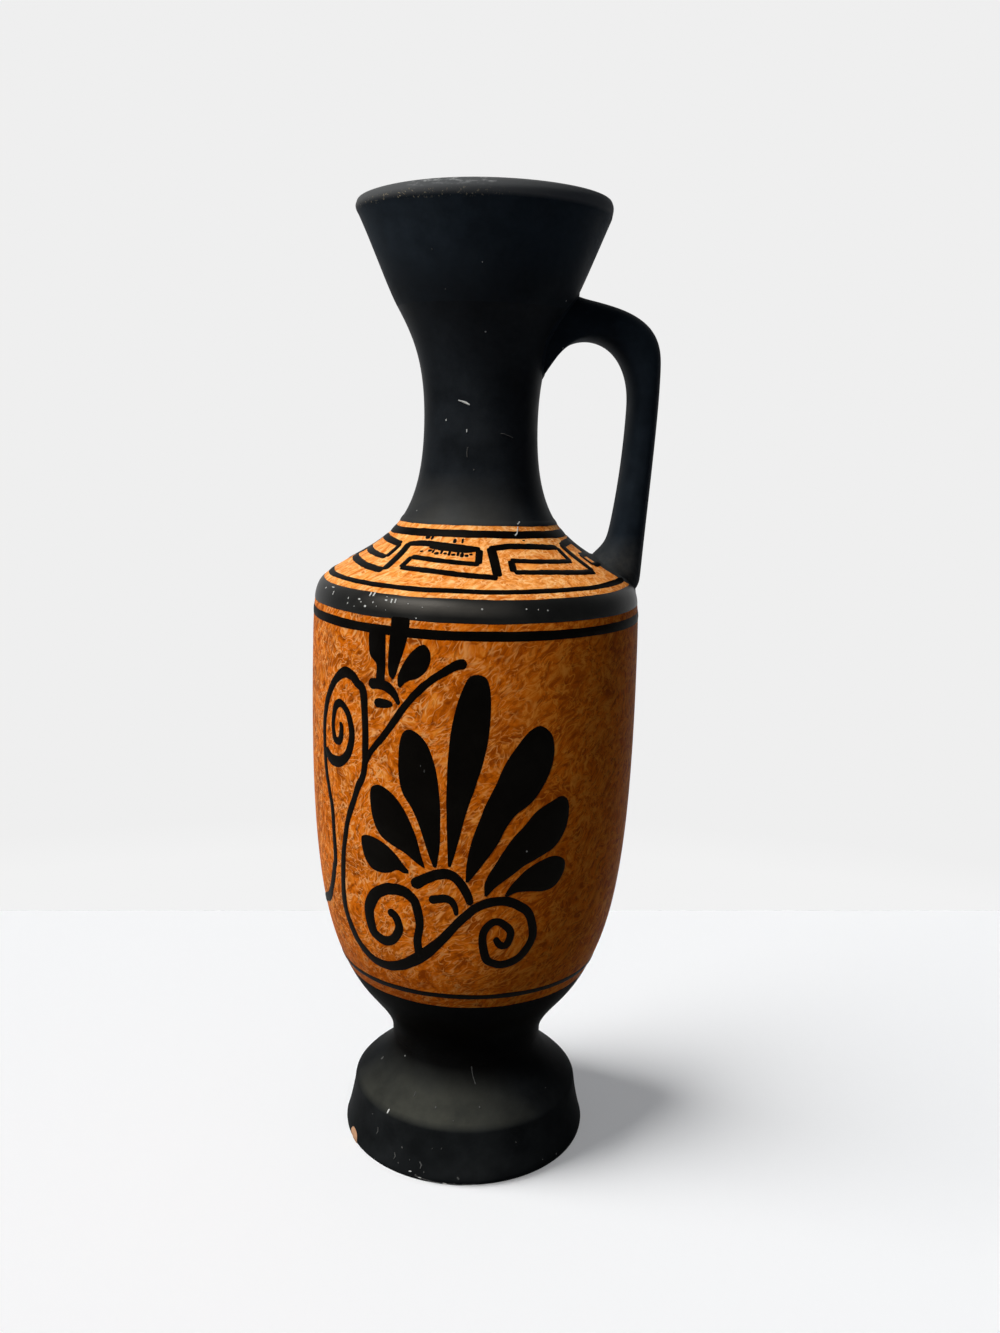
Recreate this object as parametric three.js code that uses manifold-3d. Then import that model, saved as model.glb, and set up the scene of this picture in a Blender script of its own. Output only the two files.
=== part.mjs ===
// A thrown clay pitcher with a handle. Its foot, body, neck and mouth are turned
// separately, and clay slip joins them at three level seams. A pulled strap handle
// is stuck on with two thin pads of slip. Millimetres, +Z up, the base at z = 0,
// the vessel's axis on Z and the handle towards +X.

import * as THREE from 'three';
import { mergeVertices } from 'three/addons/utils/BufferGeometryUtils.js';
import Module from 'manifold-3d';

const wasm = await Module();
wasm.setup();

// Foot: a flat base, a flared plinth wall and a hollowed slope up to the stem
const footRadius = 33.2;
const footBaseRadius = 32.2;
const footEdgeHeight = 1.8;
const plinthRadius = 30.9;
const plinthHeight = 13.2;
const plinthEdge = 1.2;
const stemRadius = 20.6;
const footHeight = 26.5;

// Body: it opens from the stem, fills out to its widest and turns in at the shoulder
const flareRadius = 30.7;
const flareRise = 16.5;
const bodyRadius = 44.15;
const bellyRise = 88;
const shoulderInset = 4.25;
const shoulderRise = 24;

// Neck: the shoulder sweeps up into a waist, and the neck opens again above it
const neckRadius = 15.4;
const neckRise = 40;
const throatRadius = 22.8;
const throatRise = 30;

// Mouth: a straight funnel with a rounded lip
const mouthRadius = 33.9;
const mouthRise = 29;

// Clay thickness, and the slip that joins the pieces
const wall = 4.6;
const floorThickness = 6.5;
const slipThickness = 1;
const seat = 0.3;
const neckSeamRise = 14.3;

// Handle: an oval strap, the reach measured from the axis to its outer face
const handleReach = 48.1;
const strapThickness = 9;
const strapWidth = 17;
const strapEdge = 3.2;
const strapRootThickness = 8.4;
const strapTopAboveThroat = 4.4;
const strapBend = 11;
const strapBendDrop = 16.4;
const gapSideAboveWaist = 7;
const gapCrownRise = 15.9;
const rootFillet = 8;
const rootDrop = 4;

// Facets, and the distance under which two points count as one
const turns = 48;
const curveSteps = 6;
const neckSteps = 10;
const strapEdgeSteps = 3;
const sameSpot = 0.05;

// Radius and heights that follow from the sizes above
const shoulderRadius = bodyRadius - shoulderInset;
const stemHeight = footHeight + slipThickness;
const flareHeight = stemHeight + flareRise;
const bellyHeight = flareHeight + bellyRise;
const shoulderHeight = bellyHeight + shoulderRise;
const waistHeight = shoulderHeight + neckRise;
const throatHeight = waistHeight + throatRise;
const topHeight = throatHeight + mouthRise;
const neckSeam = shoulderHeight + neckSeamRise;
const mouthSeam = throatHeight - slipThickness / 2;
const lipHeight = wall / 2;

const at = (radius, height) => new THREE.Vector2(radius, height);

// A curve between two points of the outline. Each pull is a share of the way across
// and of the way up that the curve is drawn out from its end.
function sweep(from, to, fromPull, toPull, steps = curveSteps) {
  const way = to.clone().sub(from);
  const near = at(from.x + way.x * fromPull[0], from.y + way.y * fromPull[1]);
  const far = at(to.x - way.x * toPull[0], to.y - way.y * toPull[1]);
  return new THREE.CubicBezierCurve(from, near, far, to).getPoints(steps);
}

// Joins stretches of outline and drops the point that two neighbours share
function chain(...stretches) {
  const line = [];
  for (const point of stretches.flat()) {
    const last = line[line.length - 1];
    if (!last || last.distanceTo(point) > sameSpot) line.push(point);
  }
  return line;
}

// The point where a rising line crosses a height
function crossing(line, height) {
  const next = Math.max(line.findIndex((point) => point.y >= height), 1);
  const [low, high] = [line[next - 1], line[next]];
  return at(THREE.MathUtils.mapLinear(height, low.y, high.y, low.x, high.x), height);
}

// The stretch of a rising line between two heights
function between(line, low, high) {
  const middle = line.filter((point) => point.y > low + sameSpot && point.y < high - sameSpot);
  return [crossing(line, low), ...middle, crossing(line, high)];
}

// The height of the shoulder where it has drawn in to a radius
function shoulderAt(radius) {
  const falling = chain(edge, neckBase);
  const next = falling.findIndex((point) => point.x < radius);
  const [low, high] = [falling[next - 1], falling[next]];
  return THREE.MathUtils.mapLinear(radius, low.x, high.x, low.y, high.y);
}

// The same line moved sideways, outwards where the distance is positive
function offset(line, distance) {
  return line.map((point, i) => {
    const before = line[Math.max(i - 1, 0)];
    const after = line[Math.min(i + 1, line.length - 1)];
    const along = after.clone().sub(before).normalize();
    return at(point.x + along.y * distance, point.y - along.x * distance);
  });
}

// The outside of the vessel from the base to the lip
const plinthWall = chain(
  [at(footBaseRadius, 0), at(footRadius, footEdgeHeight)],
  [at(plinthRadius, plinthHeight), at(plinthRadius - plinthEdge, plinthHeight + plinthEdge)],
);
const footSlope = sweep(plinthWall[3], at(stemRadius, footHeight), [0.4, 0.46], [0, 0.44]);
const stemTop = [at(stemRadius, stemHeight)];
const flare = sweep(stemTop[0], at(flareRadius, flareHeight), [0, 0.36], [0.33, 0.29]);
const belly = sweep(at(flareRadius, flareHeight), at(bodyRadius, bellyHeight), [0.62, 0.14], [0, 0.66]);
const edge = sweep(
  at(bodyRadius, bellyHeight), at(shoulderRadius, shoulderHeight), [0, 0.79], [0.98, 0.13],
);
const neckBase = sweep(
  at(shoulderRadius, shoulderHeight), at(neckRadius, waistHeight), [0.48, 0.21], [0, 0.77], neckSteps,
);
const neckTop = sweep(
  at(neckRadius, waistHeight), at(throatRadius, throatHeight), [0, 0.52], [0.55, 0.25],
);
const lipBase = at(mouthRadius, topHeight - lipHeight);
const funnel = sweep(neckTop.at(-1), lipBase, [0.24, 0.17], [0.32, 0.33]);
const outside = chain(plinthWall, footSlope, stemTop, flare, belly, edge, neckBase, neckTop, funnel);

// The inside, one wall's thickness in from the outside above the stem
const inside = offset(chain(flare, belly, edge, neckBase, neckTop, funnel), -wall);

// Turns a closed outline of radius and height about Z
function turned(outline) {
  const geometry = new THREE.LatheGeometry([...outline, outline[0]], turns);
  return solid(geometry.rotateX(Math.PI / 2));
}

// A closed solid from any closed geometry, without the triangles that shrink to a line
function solid(geometry) {
  const bare = geometry.index ? geometry.toNonIndexed() : geometry.clone();
  bare.deleteAttribute('normal');
  bare.deleteAttribute('uv');
  const merged = mergeVertices(bare, 1e-4);
  const corners = merged.index.array;
  const places = merged.attributes.position.array;
  const kept = [];
  for (let i = 0; i < corners.length; i += 3) {
    const [a, b, c] = corners.slice(i, i + 3);
    if (a !== b && b !== c && c !== a) kept.push(a, b, c);
  }
  return new wasm.Manifold(new wasm.Mesh({
    numProp: 3,
    vertProperties: new Float32Array(places),
    triVerts: new Uint32Array(kept),
  }));
}

// A ring of wall between two heights, and the outer surface pushed out, as a filled form
const ring = (low, high) =>
  turned([...between(outside, low, high), ...between(inside, low, high).reverse()]);
const filled = (distance) => {
  const skin = offset(outside, distance);
  return turned([at(0, skin[0].y), ...skin, at(0, skin.at(-1).y)]);
};

// Foot, a solid turned piece
const foot = turned([at(0, 0), ...between(outside, 0, footHeight), at(0, footHeight)]);

// Slip between the foot and the floor of the body
const footSlip = turned([
  at(0, footHeight),
  at(stemRadius, footHeight),
  at(stemRadius, stemHeight),
  at(0, stemHeight),
]);

// Body, from its floor to the seam at the neck
const floorHeight = stemHeight + floorThickness;
const bodyTop = neckSeam - slipThickness / 2;
const body = turned([
  at(0, stemHeight),
  ...between(outside, stemHeight, bodyTop),
  ...between(inside, floorHeight, bodyTop).reverse(),
  at(0, floorHeight),
]);

// Neck with a ring of slip under it and another above it
const neckSlip = ring(bodyTop, bodyTop + slipThickness);
const neck = ring(bodyTop + slipThickness, mouthSeam);
const mouthSlip = ring(mouthSeam, mouthSeam + slipThickness);

// Mouth, its rim rounded from the outer face to the inner one
const lipInside = crossing(inside, lipBase.y);
const lipMiddle = (lipBase.x + lipInside.x) / 2;
const lip = new THREE.EllipseCurve(
  lipMiddle, lipBase.y, lipBase.x - lipMiddle, lipHeight, 0, Math.PI,
).getPoints(curveSteps);
const mouth = turned(chain(
  between(outside, mouthSeam + slipThickness, lipBase.y),
  lip,
  between(inside, mouthSeam + slipThickness, lipInside.y).reverse(),
));

// Side view of the handle: over the top, down the outer face into the body, then up
// the inner face, round the finger gap and into the neck
const innerFace = handleReach - strapThickness;
const gapMiddle = (innerFace + neckRadius) / 2;
const gapReach = (innerFace - neckRadius) / 2;
const springing = waistHeight + gapSideAboveWaist;
const strapTop = throatHeight + strapTopAboveThroat;
const rootInner = bodyRadius - strapRootThickness;
const rootHeight = shoulderAt(rootInner);
const buried = rootFillet + seat + slipThickness + seat;

const side = new THREE.Shape();
side.moveTo(neckRadius / 2, strapTop);
side.lineTo(throatRadius, strapTop);
side.bezierCurveTo(
  handleReach - strapBend, strapTop - strapBend / 4,
  handleReach, strapTop - strapBend / 2,
  handleReach, strapTop - strapBendDrop,
);
side.lineTo(bodyRadius, shoulderHeight);
side.lineTo(bodyRadius, shoulderHeight - rootDrop);
side.lineTo(rootInner - buried, shoulderHeight - rootDrop);
side.lineTo(rootInner - buried, rootHeight);
side.quadraticCurveTo(rootInner, rootHeight, rootInner, rootHeight + rootFillet);
side.lineTo(innerFace, springing);
side.absellipse(gapMiddle, springing, gapReach, gapCrownRise, 0, Math.PI, false);
side.lineTo(neckRadius / 2, springing);
side.closePath();

const strap = new THREE.ExtrudeGeometry(side, {
  depth: strapWidth - 2 * strapEdge,
  curveSegments: neckSteps,
  bevelThickness: strapEdge,
  bevelSize: strapEdge,
  bevelOffset: -strapEdge,
  bevelSegments: strapEdgeSteps,
});
strap.translate(0, 0, -(strapWidth - 2 * strapEdge) / 2).rotateX(Math.PI / 2);
const wholeStrap = solid(strap);

// The strap stops short of the vessel by the slip and its two seats
const handle = wholeStrap.subtract(filled(seat + slipThickness + seat));
const slips = wholeStrap.intersect(filled(seat + slipThickness)).subtract(filled(seat));
const lowestOf = (piece) => piece.boundingBox().min[2];
const [rootSlip, topSlip] = slips.decompose().sort((a, b) => lowestOf(a) - lowestOf(b));

// Colours: bare clay, the painted ground and the dark paint
const clay = { color: 0xa9613f, roughness: 0.9, metalness: 0 };
const ground = { color: 0xbf6a26, roughness: 0.62, metalness: 0 };
const paint = { color: 0x141413, roughness: 0.58, metalness: 0 };

function named(name, form, finish) {
  const { vertProperties, triVerts, numProp } = form.getMesh();
  const geometry = new THREE.BufferGeometry();
  const points = new THREE.InterleavedBuffer(new Float32Array(vertProperties), numProp);
  geometry.setAttribute('position', new THREE.InterleavedBufferAttribute(points, 3, 0));
  geometry.setIndex(new THREE.BufferAttribute(new Uint32Array(triVerts), 1));
  const mesh = new THREE.Mesh(geometry, new THREE.MeshStandardMaterial(finish));
  mesh.name = name;
  return mesh;
}

const pitcher = new THREE.Group();
pitcher.add(
  named('foot', foot, paint),
  named('foot_slip', footSlip, clay),
  named('body', body, ground),
  named('neck_slip', neckSlip, clay),
  named('neck', neck, paint),
  named('mouth_slip', mouthSlip, clay),
  named('mouth', mouth, paint),
  named('handle', handle, paint),
  named('handle_root_slip', rootSlip, clay),
  named('handle_top_slip', topSlip, clay),
);

export default pitcher;
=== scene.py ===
"""A hand-painted clay pitcher with a funnel mouth, a strap handle and a pedestal foot.

The turned pieces are spun from one outline. The handle is drawn out between its two
footprints on the clay. The paint is laid on in thin films, stroke by stroke. Lengths are
in metres and azimuths in degrees, counted from the painted front towards the handle.
"""

import math

import bpy
import numpy as np
from bpy.props import FloatProperty, FloatVectorProperty, IntProperty, PointerProperty
from mathutils import Matrix, Vector, noise


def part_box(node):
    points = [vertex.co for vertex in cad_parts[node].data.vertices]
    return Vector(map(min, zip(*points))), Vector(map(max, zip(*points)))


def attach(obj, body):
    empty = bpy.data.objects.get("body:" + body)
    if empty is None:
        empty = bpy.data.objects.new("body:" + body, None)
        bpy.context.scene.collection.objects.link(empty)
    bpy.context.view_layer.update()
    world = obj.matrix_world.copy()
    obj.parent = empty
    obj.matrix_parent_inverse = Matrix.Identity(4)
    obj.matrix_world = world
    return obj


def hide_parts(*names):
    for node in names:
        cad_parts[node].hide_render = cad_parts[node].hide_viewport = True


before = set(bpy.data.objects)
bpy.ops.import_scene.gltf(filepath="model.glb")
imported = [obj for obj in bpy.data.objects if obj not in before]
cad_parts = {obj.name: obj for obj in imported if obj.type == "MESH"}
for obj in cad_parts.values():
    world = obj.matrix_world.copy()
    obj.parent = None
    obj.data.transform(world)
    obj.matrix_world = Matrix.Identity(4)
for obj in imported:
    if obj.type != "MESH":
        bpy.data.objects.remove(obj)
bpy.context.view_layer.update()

bl_info = {
    "name": "Painted Pitcher",
    "version": (1, 0, 0),
    "blender": (4, 5, 0),
    "location": "3D View > Sidebar > Pitcher",
    "description": "Builds a hand-painted clay pitcher piece by piece",
    "category": "Add Mesh",
}

MM = 0.001

# The front of the vessel, counted from the handle's side at +X
FRONT = -92.0

# Corners and seams that the frame gives
FOOT_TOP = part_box("foot")[1].z
STEM_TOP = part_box("foot_slip")[1].z
BODY_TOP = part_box("body")[1].z
NECK_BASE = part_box("neck")[0].z
NECK_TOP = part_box("neck")[1].z
MOUTH_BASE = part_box("mouth")[0].z
MOUTH_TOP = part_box("mouth")[1].z


def length(name, description, default):
    """A size that a user may change."""
    return FloatProperty(
        name=name, description=description, default=default, min=0, unit="LENGTH", precision=5
    )


def colour(name, description, *default):
    """A colour that a user may change."""
    return FloatVectorProperty(
        name=name, description=description, default=default, min=0, max=1, size=3, subtype="COLOR"
    )


def angle(name, description, degrees):
    """An angle that a user may change."""
    return FloatProperty(
        name=name, description=description, default=math.radians(degrees), subtype="ANGLE"
    )


def number(name, description, default):
    """A plain number that a user may change."""
    return FloatProperty(name=name, description=description, default=default)


class PitcherOutline(bpy.types.PropertyGroup):
    """Sizes of the turned clay."""

    foot_radius: length("Foot radius", "Widest radius of the foot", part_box("foot")[1].x)
    base_radius: length("Base radius", "Radius of the flat underside", 31.7 * MM)
    foot_edge: length("Foot edge", "Height at which the foot is widest", 2.0 * MM)
    plinth_radius: length("Plinth radius", "Radius at the top of the plinth wall", 30.9 * MM)
    plinth_height: length("Plinth height", "Height of the plinth wall", 13.2 * MM)
    slope_radius: length("Slope radius", "Radius where the slope of the foot starts", 29.9 * MM)
    slope_height: length("Slope height", "Height where the slope of the foot starts", 14.8 * MM)
    stem_radius: length("Stem radius", "Radius of the stem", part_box("foot_slip")[1].x)
    flare_radius: length("Flare radius", "Radius where the stem has opened", 30.7 * MM)
    flare_height: length("Flare height", "Height where the stem has opened", 44.0 * MM)
    body_radius: length("Body radius", "Widest radius of the body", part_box("body")[1].x)
    belly_height: length("Belly height", "Height where the body is full", 132.0 * MM)
    shoulder_radius: length("Shoulder radius", "Radius where the shoulder starts", 39.9 * MM)
    shoulder_height: length("Shoulder height", "Height where the shoulder starts", 156.0 * MM)
    neck_radius: length("Neck radius", "Radius of the neck's waist", 15.4 * MM)
    waist_height: length("Waist height", "Height of the neck's waist", 196.0 * MM)
    throat_radius: length("Throat radius", "Radius where the neck meets the mouth", 22.8 * MM)
    throat_height: length("Throat height", "Height where the neck meets the mouth", 226.0 * MM)
    funnel_radius: length("Funnel radius", "Radius at the top of the funnel", 33.5 * MM)
    lip: length("Lip", "Height of the rounded lip", 4.6 * MM)
    lip_radius: length("Lip radius", "Radius of the ridge on the lip", 31.1 * MM)
    wall: length("Wall", "Thickness of the clay", 4.6 * MM)
    floor: length("Floor", "Thickness of the body's floor", 6.5 * MM)
    paint: length("Paint", "Thickness of the paint", 0.12 * MM)
    rim_sag: length("Rim sag", "How far the rim dips at the front left", 0.8 * MM)
    rim_swell: length("Rim swell", "How far the lip is fuller at the front right", 0.8 * MM)
    rim_lean: length("Rim lean", "How far the lip leans away from the handle", 0.3 * MM)
    play: length("Play", "How far the paint keeps inside the true size", 0.02 * MM)
    turns: IntProperty(name="Turns", description="Steps round the vessel", default=160, min=24)


class PitcherHandle(bpy.types.PropertyGroup):
    """Sizes of the strap handle."""

    reach: length("Reach", "From the axis to the outer face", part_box("handle")[1].x - 0.3 * MM)
    width: length("Width", "Width of the strap", 17.0 * MM)
    thickness: length("Thickness", "Thickness of the strap", 8.3 * MM)
    top: length("Top", "Height of the strap's top at the mouth", 230.1 * MM)
    bend_height: length("Bend height", "Height where the outer bend ends", 214.0 * MM)
    springing: length("Springing", "Height where the crown of the finger gap starts", 203.0 * MM)
    crown: length("Crown", "Rise of the finger gap above that height", 15.9 * MM)
    flare: length("Flare", "How far each end spreads on the clay", 1.6 * MM)


class PitcherPaint(bpy.types.PropertyGroup):
    """Colours of the paint, the wash and the clay."""

    # The mouth's black is lighter and bluer than the neck's, and the handle's bluer: painted bluish
    # shade, the mouth facing down and the handle away from the lamp
    black: colour("Black", "The dark paint of the mouth", 0.0150, 0.0205, 0.0265)
    handle_black: colour("Handle black", "The dark paint of the handle", 0.0098, 0.0136, 0.0180)
    neck_black: colour("Neck black", "The dark paint of the neck", 0.0095, 0.0112, 0.0130)
    foot_black: colour("Foot black", "The dark paint of the foot", 0.0090, 0.0099, 0.0102)
    band_black: colour("Band black", "The dark paint of the shoulder band", 0.0088, 0.0088, 0.0082)
    line_black: colour("Line black", "The dark paint of the ornament", 0.0022, 0.0018, 0.0014)
    # The next colour is also laid as painted sheen low on the neck and a painted highlight at the
    # handle's root
    dust_and_sheen: colour("Dust", "Dust in the dark paint", 0.062, 0.059, 0.051)
    # The next colour is a painted highlight on the foot's slope, on the side that faces the lamp
    rubbed_and_painted_light: colour("Rubbed", "Dark paint rubbed dull", 0.042, 0.042, 0.034)
    # The next colour is a painted highlight across the shoulder band
    band_painted_highlight: colour("Band rubbed", "The band where it is rubbed", 0.046, 0.042, 0.036)
    band_glint: colour("Band glint", "Tint of the shine on the band", 1.0, 0.93, 0.82)
    lip_rubbed: colour("Lip rubbed", "The lip where it is rubbed grey", 0.085, 0.086, 0.085)
    ridge_rubbed: colour("Ridge rubbed", "Scratches on the lip's ridge", 0.30, 0.30, 0.29)
    nick: colour("Nick", "Nicks in the lip's lower edge", 0.45, 0.38, 0.24)
    wash: colour("Wash", "The orange wash", 0.70, 0.145, 0.0030)
    wash_light: colour("Wash light", "Light strokes of the wash", 0.84, 0.270, 0.030)
    # The next colours are painted light of the lit left side: paler hair lines and deeper dark
    # strokes
    wash_painted_sheen: colour("Wash pale", "Its hair lines where most light falls", 0.90, 0.44, 0.150)
    wash_dark: colour("Wash dark", "Dark strokes of the wash", 0.34, 0.055, 0.0016)
    wash_lit_side_dark: colour("Wash deep", "Its dark strokes where most light falls", 0.20, 0.034, 0.0012)
    # The shoulder's colours are paler partly of their own and partly as painted light on the top
    top: colour("Shoulder", "The paler wash of the shoulder", 0.87, 0.315, 0.058)
    top_light: colour("Shoulder light", "Light strokes on the shoulder", 0.94, 0.49, 0.17)
    top_pale: colour("Shoulder pale", "Hair lines on the shoulder", 1.0, 0.62, 0.27)
    top_dark: colour("Shoulder dark", "Dark strokes on the shoulder", 0.56, 0.120, 0.006)
    clay: colour("Clay", "Bare fired clay", 0.44, 0.24, 0.13)
    grit: colour("Grit", "Fine grit in the bare clay", 0.75, 0.5, 0.36)
    speck: colour("Speck", "Pale specks where paint is chipped", 0.62, 0.62, 0.58)
    scuff: colour("Scuff", "Faint scuffs in the dark paint", 0.085, 0.085, 0.080)
    waver: length("Waver", "How far a brushed edge wavers", 0.16 * MM)


class PitcherStage(bpy.types.PropertyGroup):
    """The camera, the lamps and the floor."""

    distance: length("Distance", "From the vessel's axis to the camera", 326.2 * MM)
    height: length("Height", "Height of the camera", 197.7 * MM)
    turn: angle("Turn", "Camera turned to its right", 1.17)
    tilt: angle("Tilt", "Camera tilted down", 5.79)
    roll: angle("Roll", "Camera rolled", 1.53)
    lens: number("Lens", "Focal length in millimetres", 32.6)
    shift_x: number("Shift X", "Sideways shift of the frame", -0.0020)
    shift_y: number("Shift Y", "Upward shift of the frame", -0.094)
    sun: number("Lamp strength", "Strength of the soft lamp", 4.05)
    softness: angle("Softness", "Angle that the lamp fills", 30)
    lamp_azimuth: number("Lamp azimuth", "Direction of the lamp in degrees", -56.0)
    lamp_rise: number("Lamp rise", "Degrees from the horizon up to the lamp", 50.0)
    floor_sun: number("Floor lamp strength", "Strength of the floor's lamp", 12.9)
    floor_softness: angle("Floor lamp softness", "Angle that the floor's lamp fills", 54)
    floor_azimuth: number("Floor lamp azimuth", "Direction of that lamp in degrees", -79.0)
    floor_rise: number("Floor lamp rise", "Degrees from the horizon up to that lamp", 9.0)
    fill: colour("Fill", "Light from all round", 0.082, 0.092, 0.109)
    floor_turn: angle("Floor turn", "Turn of the floor's far edge", 2.6)
    floor_back: length("Floor behind", "How far the floor reaches behind the pitcher", 143 * MM)
    floor_front: length("Floor in front", "How far the floor reaches in front", 450 * MM)
    floor_side: length("Floor beside", "How far the floor reaches to either side", 750 * MM)
    floor: colour("Floor", "The pale floor", 0.78, 0.78, 0.78)
    floor_glow: colour("Floor glow", "The floor in the deepest shadow", 0.225, 0.225, 0.225)
    bounce: colour("Bounce", "The floor as the pitcher is lit by it", 0.116, 0.127, 0.150)
    backdrop: colour("Backdrop", "What lies beyond the floor", 0.863, 0.863, 0.863)
    backdrop_foot: colour("Backdrop foot", "The backdrop's lighter foot", 0.888, 0.888, 0.888)


# Outline of the turned clay

# Neighbours on an outline that are nearer than this are one place
SAME = 0.01 * MM
# A seam takes the place of points that are nearer to it than this
SEAM_GAP = 0.05 * MM


def mm(*sizes):
    """Millimetres as metres."""
    return tuple(size * MM for size in sizes)


def bezier(start, pull, push, end, steps):
    """Points of a curve between two places, drawn out by two handles."""
    t = np.linspace(0, 1, steps + 1)[:, None]
    a, b, c, d = (np.array(p, float) for p in (start, pull, push, end))
    return (1 - t) ** 3 * a + 3 * (1 - t) ** 2 * t * b + 3 * (1 - t) * t ** 2 * c + t ** 3 * d


def drawn(start, *curves):
    """Curves that follow each other: each has two handles, its end and its steps."""
    stretches = []
    for pull, push, end, steps in curves:
        stretches.append(bezier(start, pull, push, end, steps))
        start = end
    return chain(*stretches)


def chain(*stretches):
    """Joins stretches of outline and drops the places that two neighbours share."""
    line = [stretches[0][0]]
    for point in np.vstack(stretches):
        if np.hypot(*(point - line[-1])) > SAME:
            line.append(point)
    return np.array(line)


def unit(vectors):
    """The same directions, each one long."""
    return vectors / np.linalg.norm(vectors, axis=1)[:, None]


def run_of(places):
    """How far along a line each of its places lies."""
    return np.concatenate([[0], np.cumsum(np.linalg.norm(np.diff(places, axis=0), axis=1))])


def offset(line, distance):
    """The same outline moved sideways, outwards where the distance is positive."""
    along = unit(np.gradient(line, axis=0))
    return line + np.stack([along[:, 1], -along[:, 0]], 1) * distance


def between(line, low, high):
    """The stretch of a rising outline between two heights."""
    inner = line[(line[:, 1] > low + SEAM_GAP) & (line[:, 1] < high - SEAM_GAP)]
    ends = [(np.interp(h, line[:, 1], line[:, 0]), h) for h in (low, high)]
    return np.vstack([ends[:1], inner, ends[1:]])


def rising(line):
    """The part of an inner outline above its floor, where the height keeps rising."""
    keep = [line[-1]]
    for point in line[-2::-1]:
        if point[1] < keep[-1][1] - 1e-6:
            keep.append(point)
        if point[1] < STEM_TOP:
            break
    return np.array(keep[::-1])


def outline():
    """Radius and height of the outside, from the underside to the lip, under the paint."""
    s = bpy.context.scene.pitcher_outline
    foot = drawn(
        (s.base_radius, 0),
        # The rounded lower edge, the wall of the plinth and its upper edge
        ((s.base_radius + 1.0 * MM, 0), (s.foot_radius, 0.8 * MM), (s.foot_radius, s.foot_edge), 6),
        (mm(32.25, 5), mm(31.3, 9.5), (s.plinth_radius, s.plinth_height), 8),
        (mm(30.8, 13.9), mm(30.4, 14.3), (s.slope_radius, s.slope_height), 8),
        # The slope up to the stem
        (mm(27.3, 17.6), (s.stem_radius, 20.9 * MM), (s.stem_radius, FOOT_TOP), 24),
    )
    vessel = drawn(
        (s.stem_radius, STEM_TOP),
        # The flare of the stem, the belly and the round edge of the shoulder
        ((s.stem_radius, 33.4 * MM), mm(27.3, 39.1), (s.flare_radius, s.flare_height), 24),
        (mm(39.2, 56.3), (s.body_radius, 72.9 * MM), (s.body_radius, s.belly_height), 60),
        ((s.body_radius, 151 * MM), mm(44.07, 152.9), (s.shoulder_radius, s.shoulder_height), 36),
        # The slope of the shoulder, the throat and the funnel
        (mm(28, 164.4), (s.neck_radius, 165.2 * MM), (s.neck_radius, s.waist_height), 48),
        ((s.neck_radius, 211.6 * MM), mm(18.6, 218.5), (s.throat_radius, s.throat_height), 24),
        (mm(25.5, 230.5), mm(30.05, 242.6), (s.funnel_radius, MOUTH_TOP - s.lip), 24),
    )
    return offset(chain(foot, vessel), -s.paint - s.play)


class Skin:
    """The outside of the clay, on which paint and handle are laid by azimuth and height."""

    def __init__(self):
        self.line = outline()
        self.radius, self.height = self.line.T
        self.run = run_of(self.line)
        self.along = unit(np.gradient(self.line, axis=0))

    def place(self, azimuth, height, lift=0.0):
        """Places in space, raised off the clay by lift."""
        height = np.asarray(height, float)
        out = np.interp(height, self.height, self.along[:, 1])
        up = -np.interp(height, self.height, self.along[:, 0])
        radius = np.interp(height, self.height, self.radius) + lift * out
        side = np.radians(np.asarray(azimuth, float) + FRONT)
        return np.stack([radius * np.cos(side), radius * np.sin(side), height + lift * up], -1)

    def height_at(self, run):
        """Height after a run along the outline."""
        return np.interp(run, self.run, self.height)

    def run_at(self, height):
        """Run along the outline to a height."""
        return np.interp(height, self.height, self.run)


# Small steps of modelling

# Points nearer than these are merged, in turned clay and in films of paint
CLAY_WELD, PAINT_WELD = 0.002 * MM, 0.004 * MM
# Edges sharper than these stay sharp, in turned clay and in all that is drawn or brushed
TURNED_SHARP, DRAWN_SHARP = 35, 60


def pick(*pieces):
    """Selects these pieces alone, the first of them active."""
    bpy.ops.object.select_all(action="DESELECT")
    for piece in pieces:
        piece.select_set(True)
    bpy.context.view_layer.objects.active = pieces[0]


def fresh(add, name, **sizes):
    """Adds a primitive with nothing else selected, and names it."""
    bpy.ops.object.select_all(action="DESELECT")
    add(**sizes)
    piece = bpy.context.active_object
    piece.name = piece.data.name = name
    return piece


def lay(piece, places):
    """Puts each vertex of a piece in its place."""
    piece.data.vertices.foreach_set("co", np.asarray(places, np.float32).ravel())
    piece.data.update()


def corners(piece):
    """The places of a piece's vertices."""
    places = np.zeros(len(piece.data.vertices) * 3, np.float32)
    piece.data.vertices.foreach_get("co", places)
    return places.reshape(-1, 3).astype(float)


def in_edit_mode(piece, *steps):
    """Runs edit-mode steps on all of a piece."""
    pick(piece)
    bpy.ops.object.mode_set(mode="EDIT")
    for step, options in steps:
        bpy.ops.mesh.select_all(action="SELECT")
        step(**options)
    bpy.ops.object.mode_set(mode="OBJECT")


def modified(piece, kind, **settings):
    """Adds a modifier and applies it."""
    bpy.context.view_layer.objects.active = piece
    modifier = piece.modifiers.new(kind.title(), kind)
    for name, value in settings.items():
        setattr(modifier, name, value)
    bpy.ops.object.modifier_apply(modifier=modifier.name)


def joined(name, pieces):
    """Joins pieces into one under a new name."""
    pick(*pieces)
    bpy.ops.object.join()
    pieces[0].name = pieces[0].data.name = name
    return pieces[0]


def finished(piece, slot, *finishes, sharp=DRAWN_SHARP, stands_for=()):
    """Smooths a piece, gives it its finishes, and ties it to the frame."""
    pick(piece)
    bpy.ops.object.shade_smooth_by_angle(angle=math.radians(sharp))
    piece.data.materials.clear()
    for name in finishes:
        piece.data.materials.append(material(name))
    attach(piece, "root")
    if stands_for:
        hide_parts(*stands_for)


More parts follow.
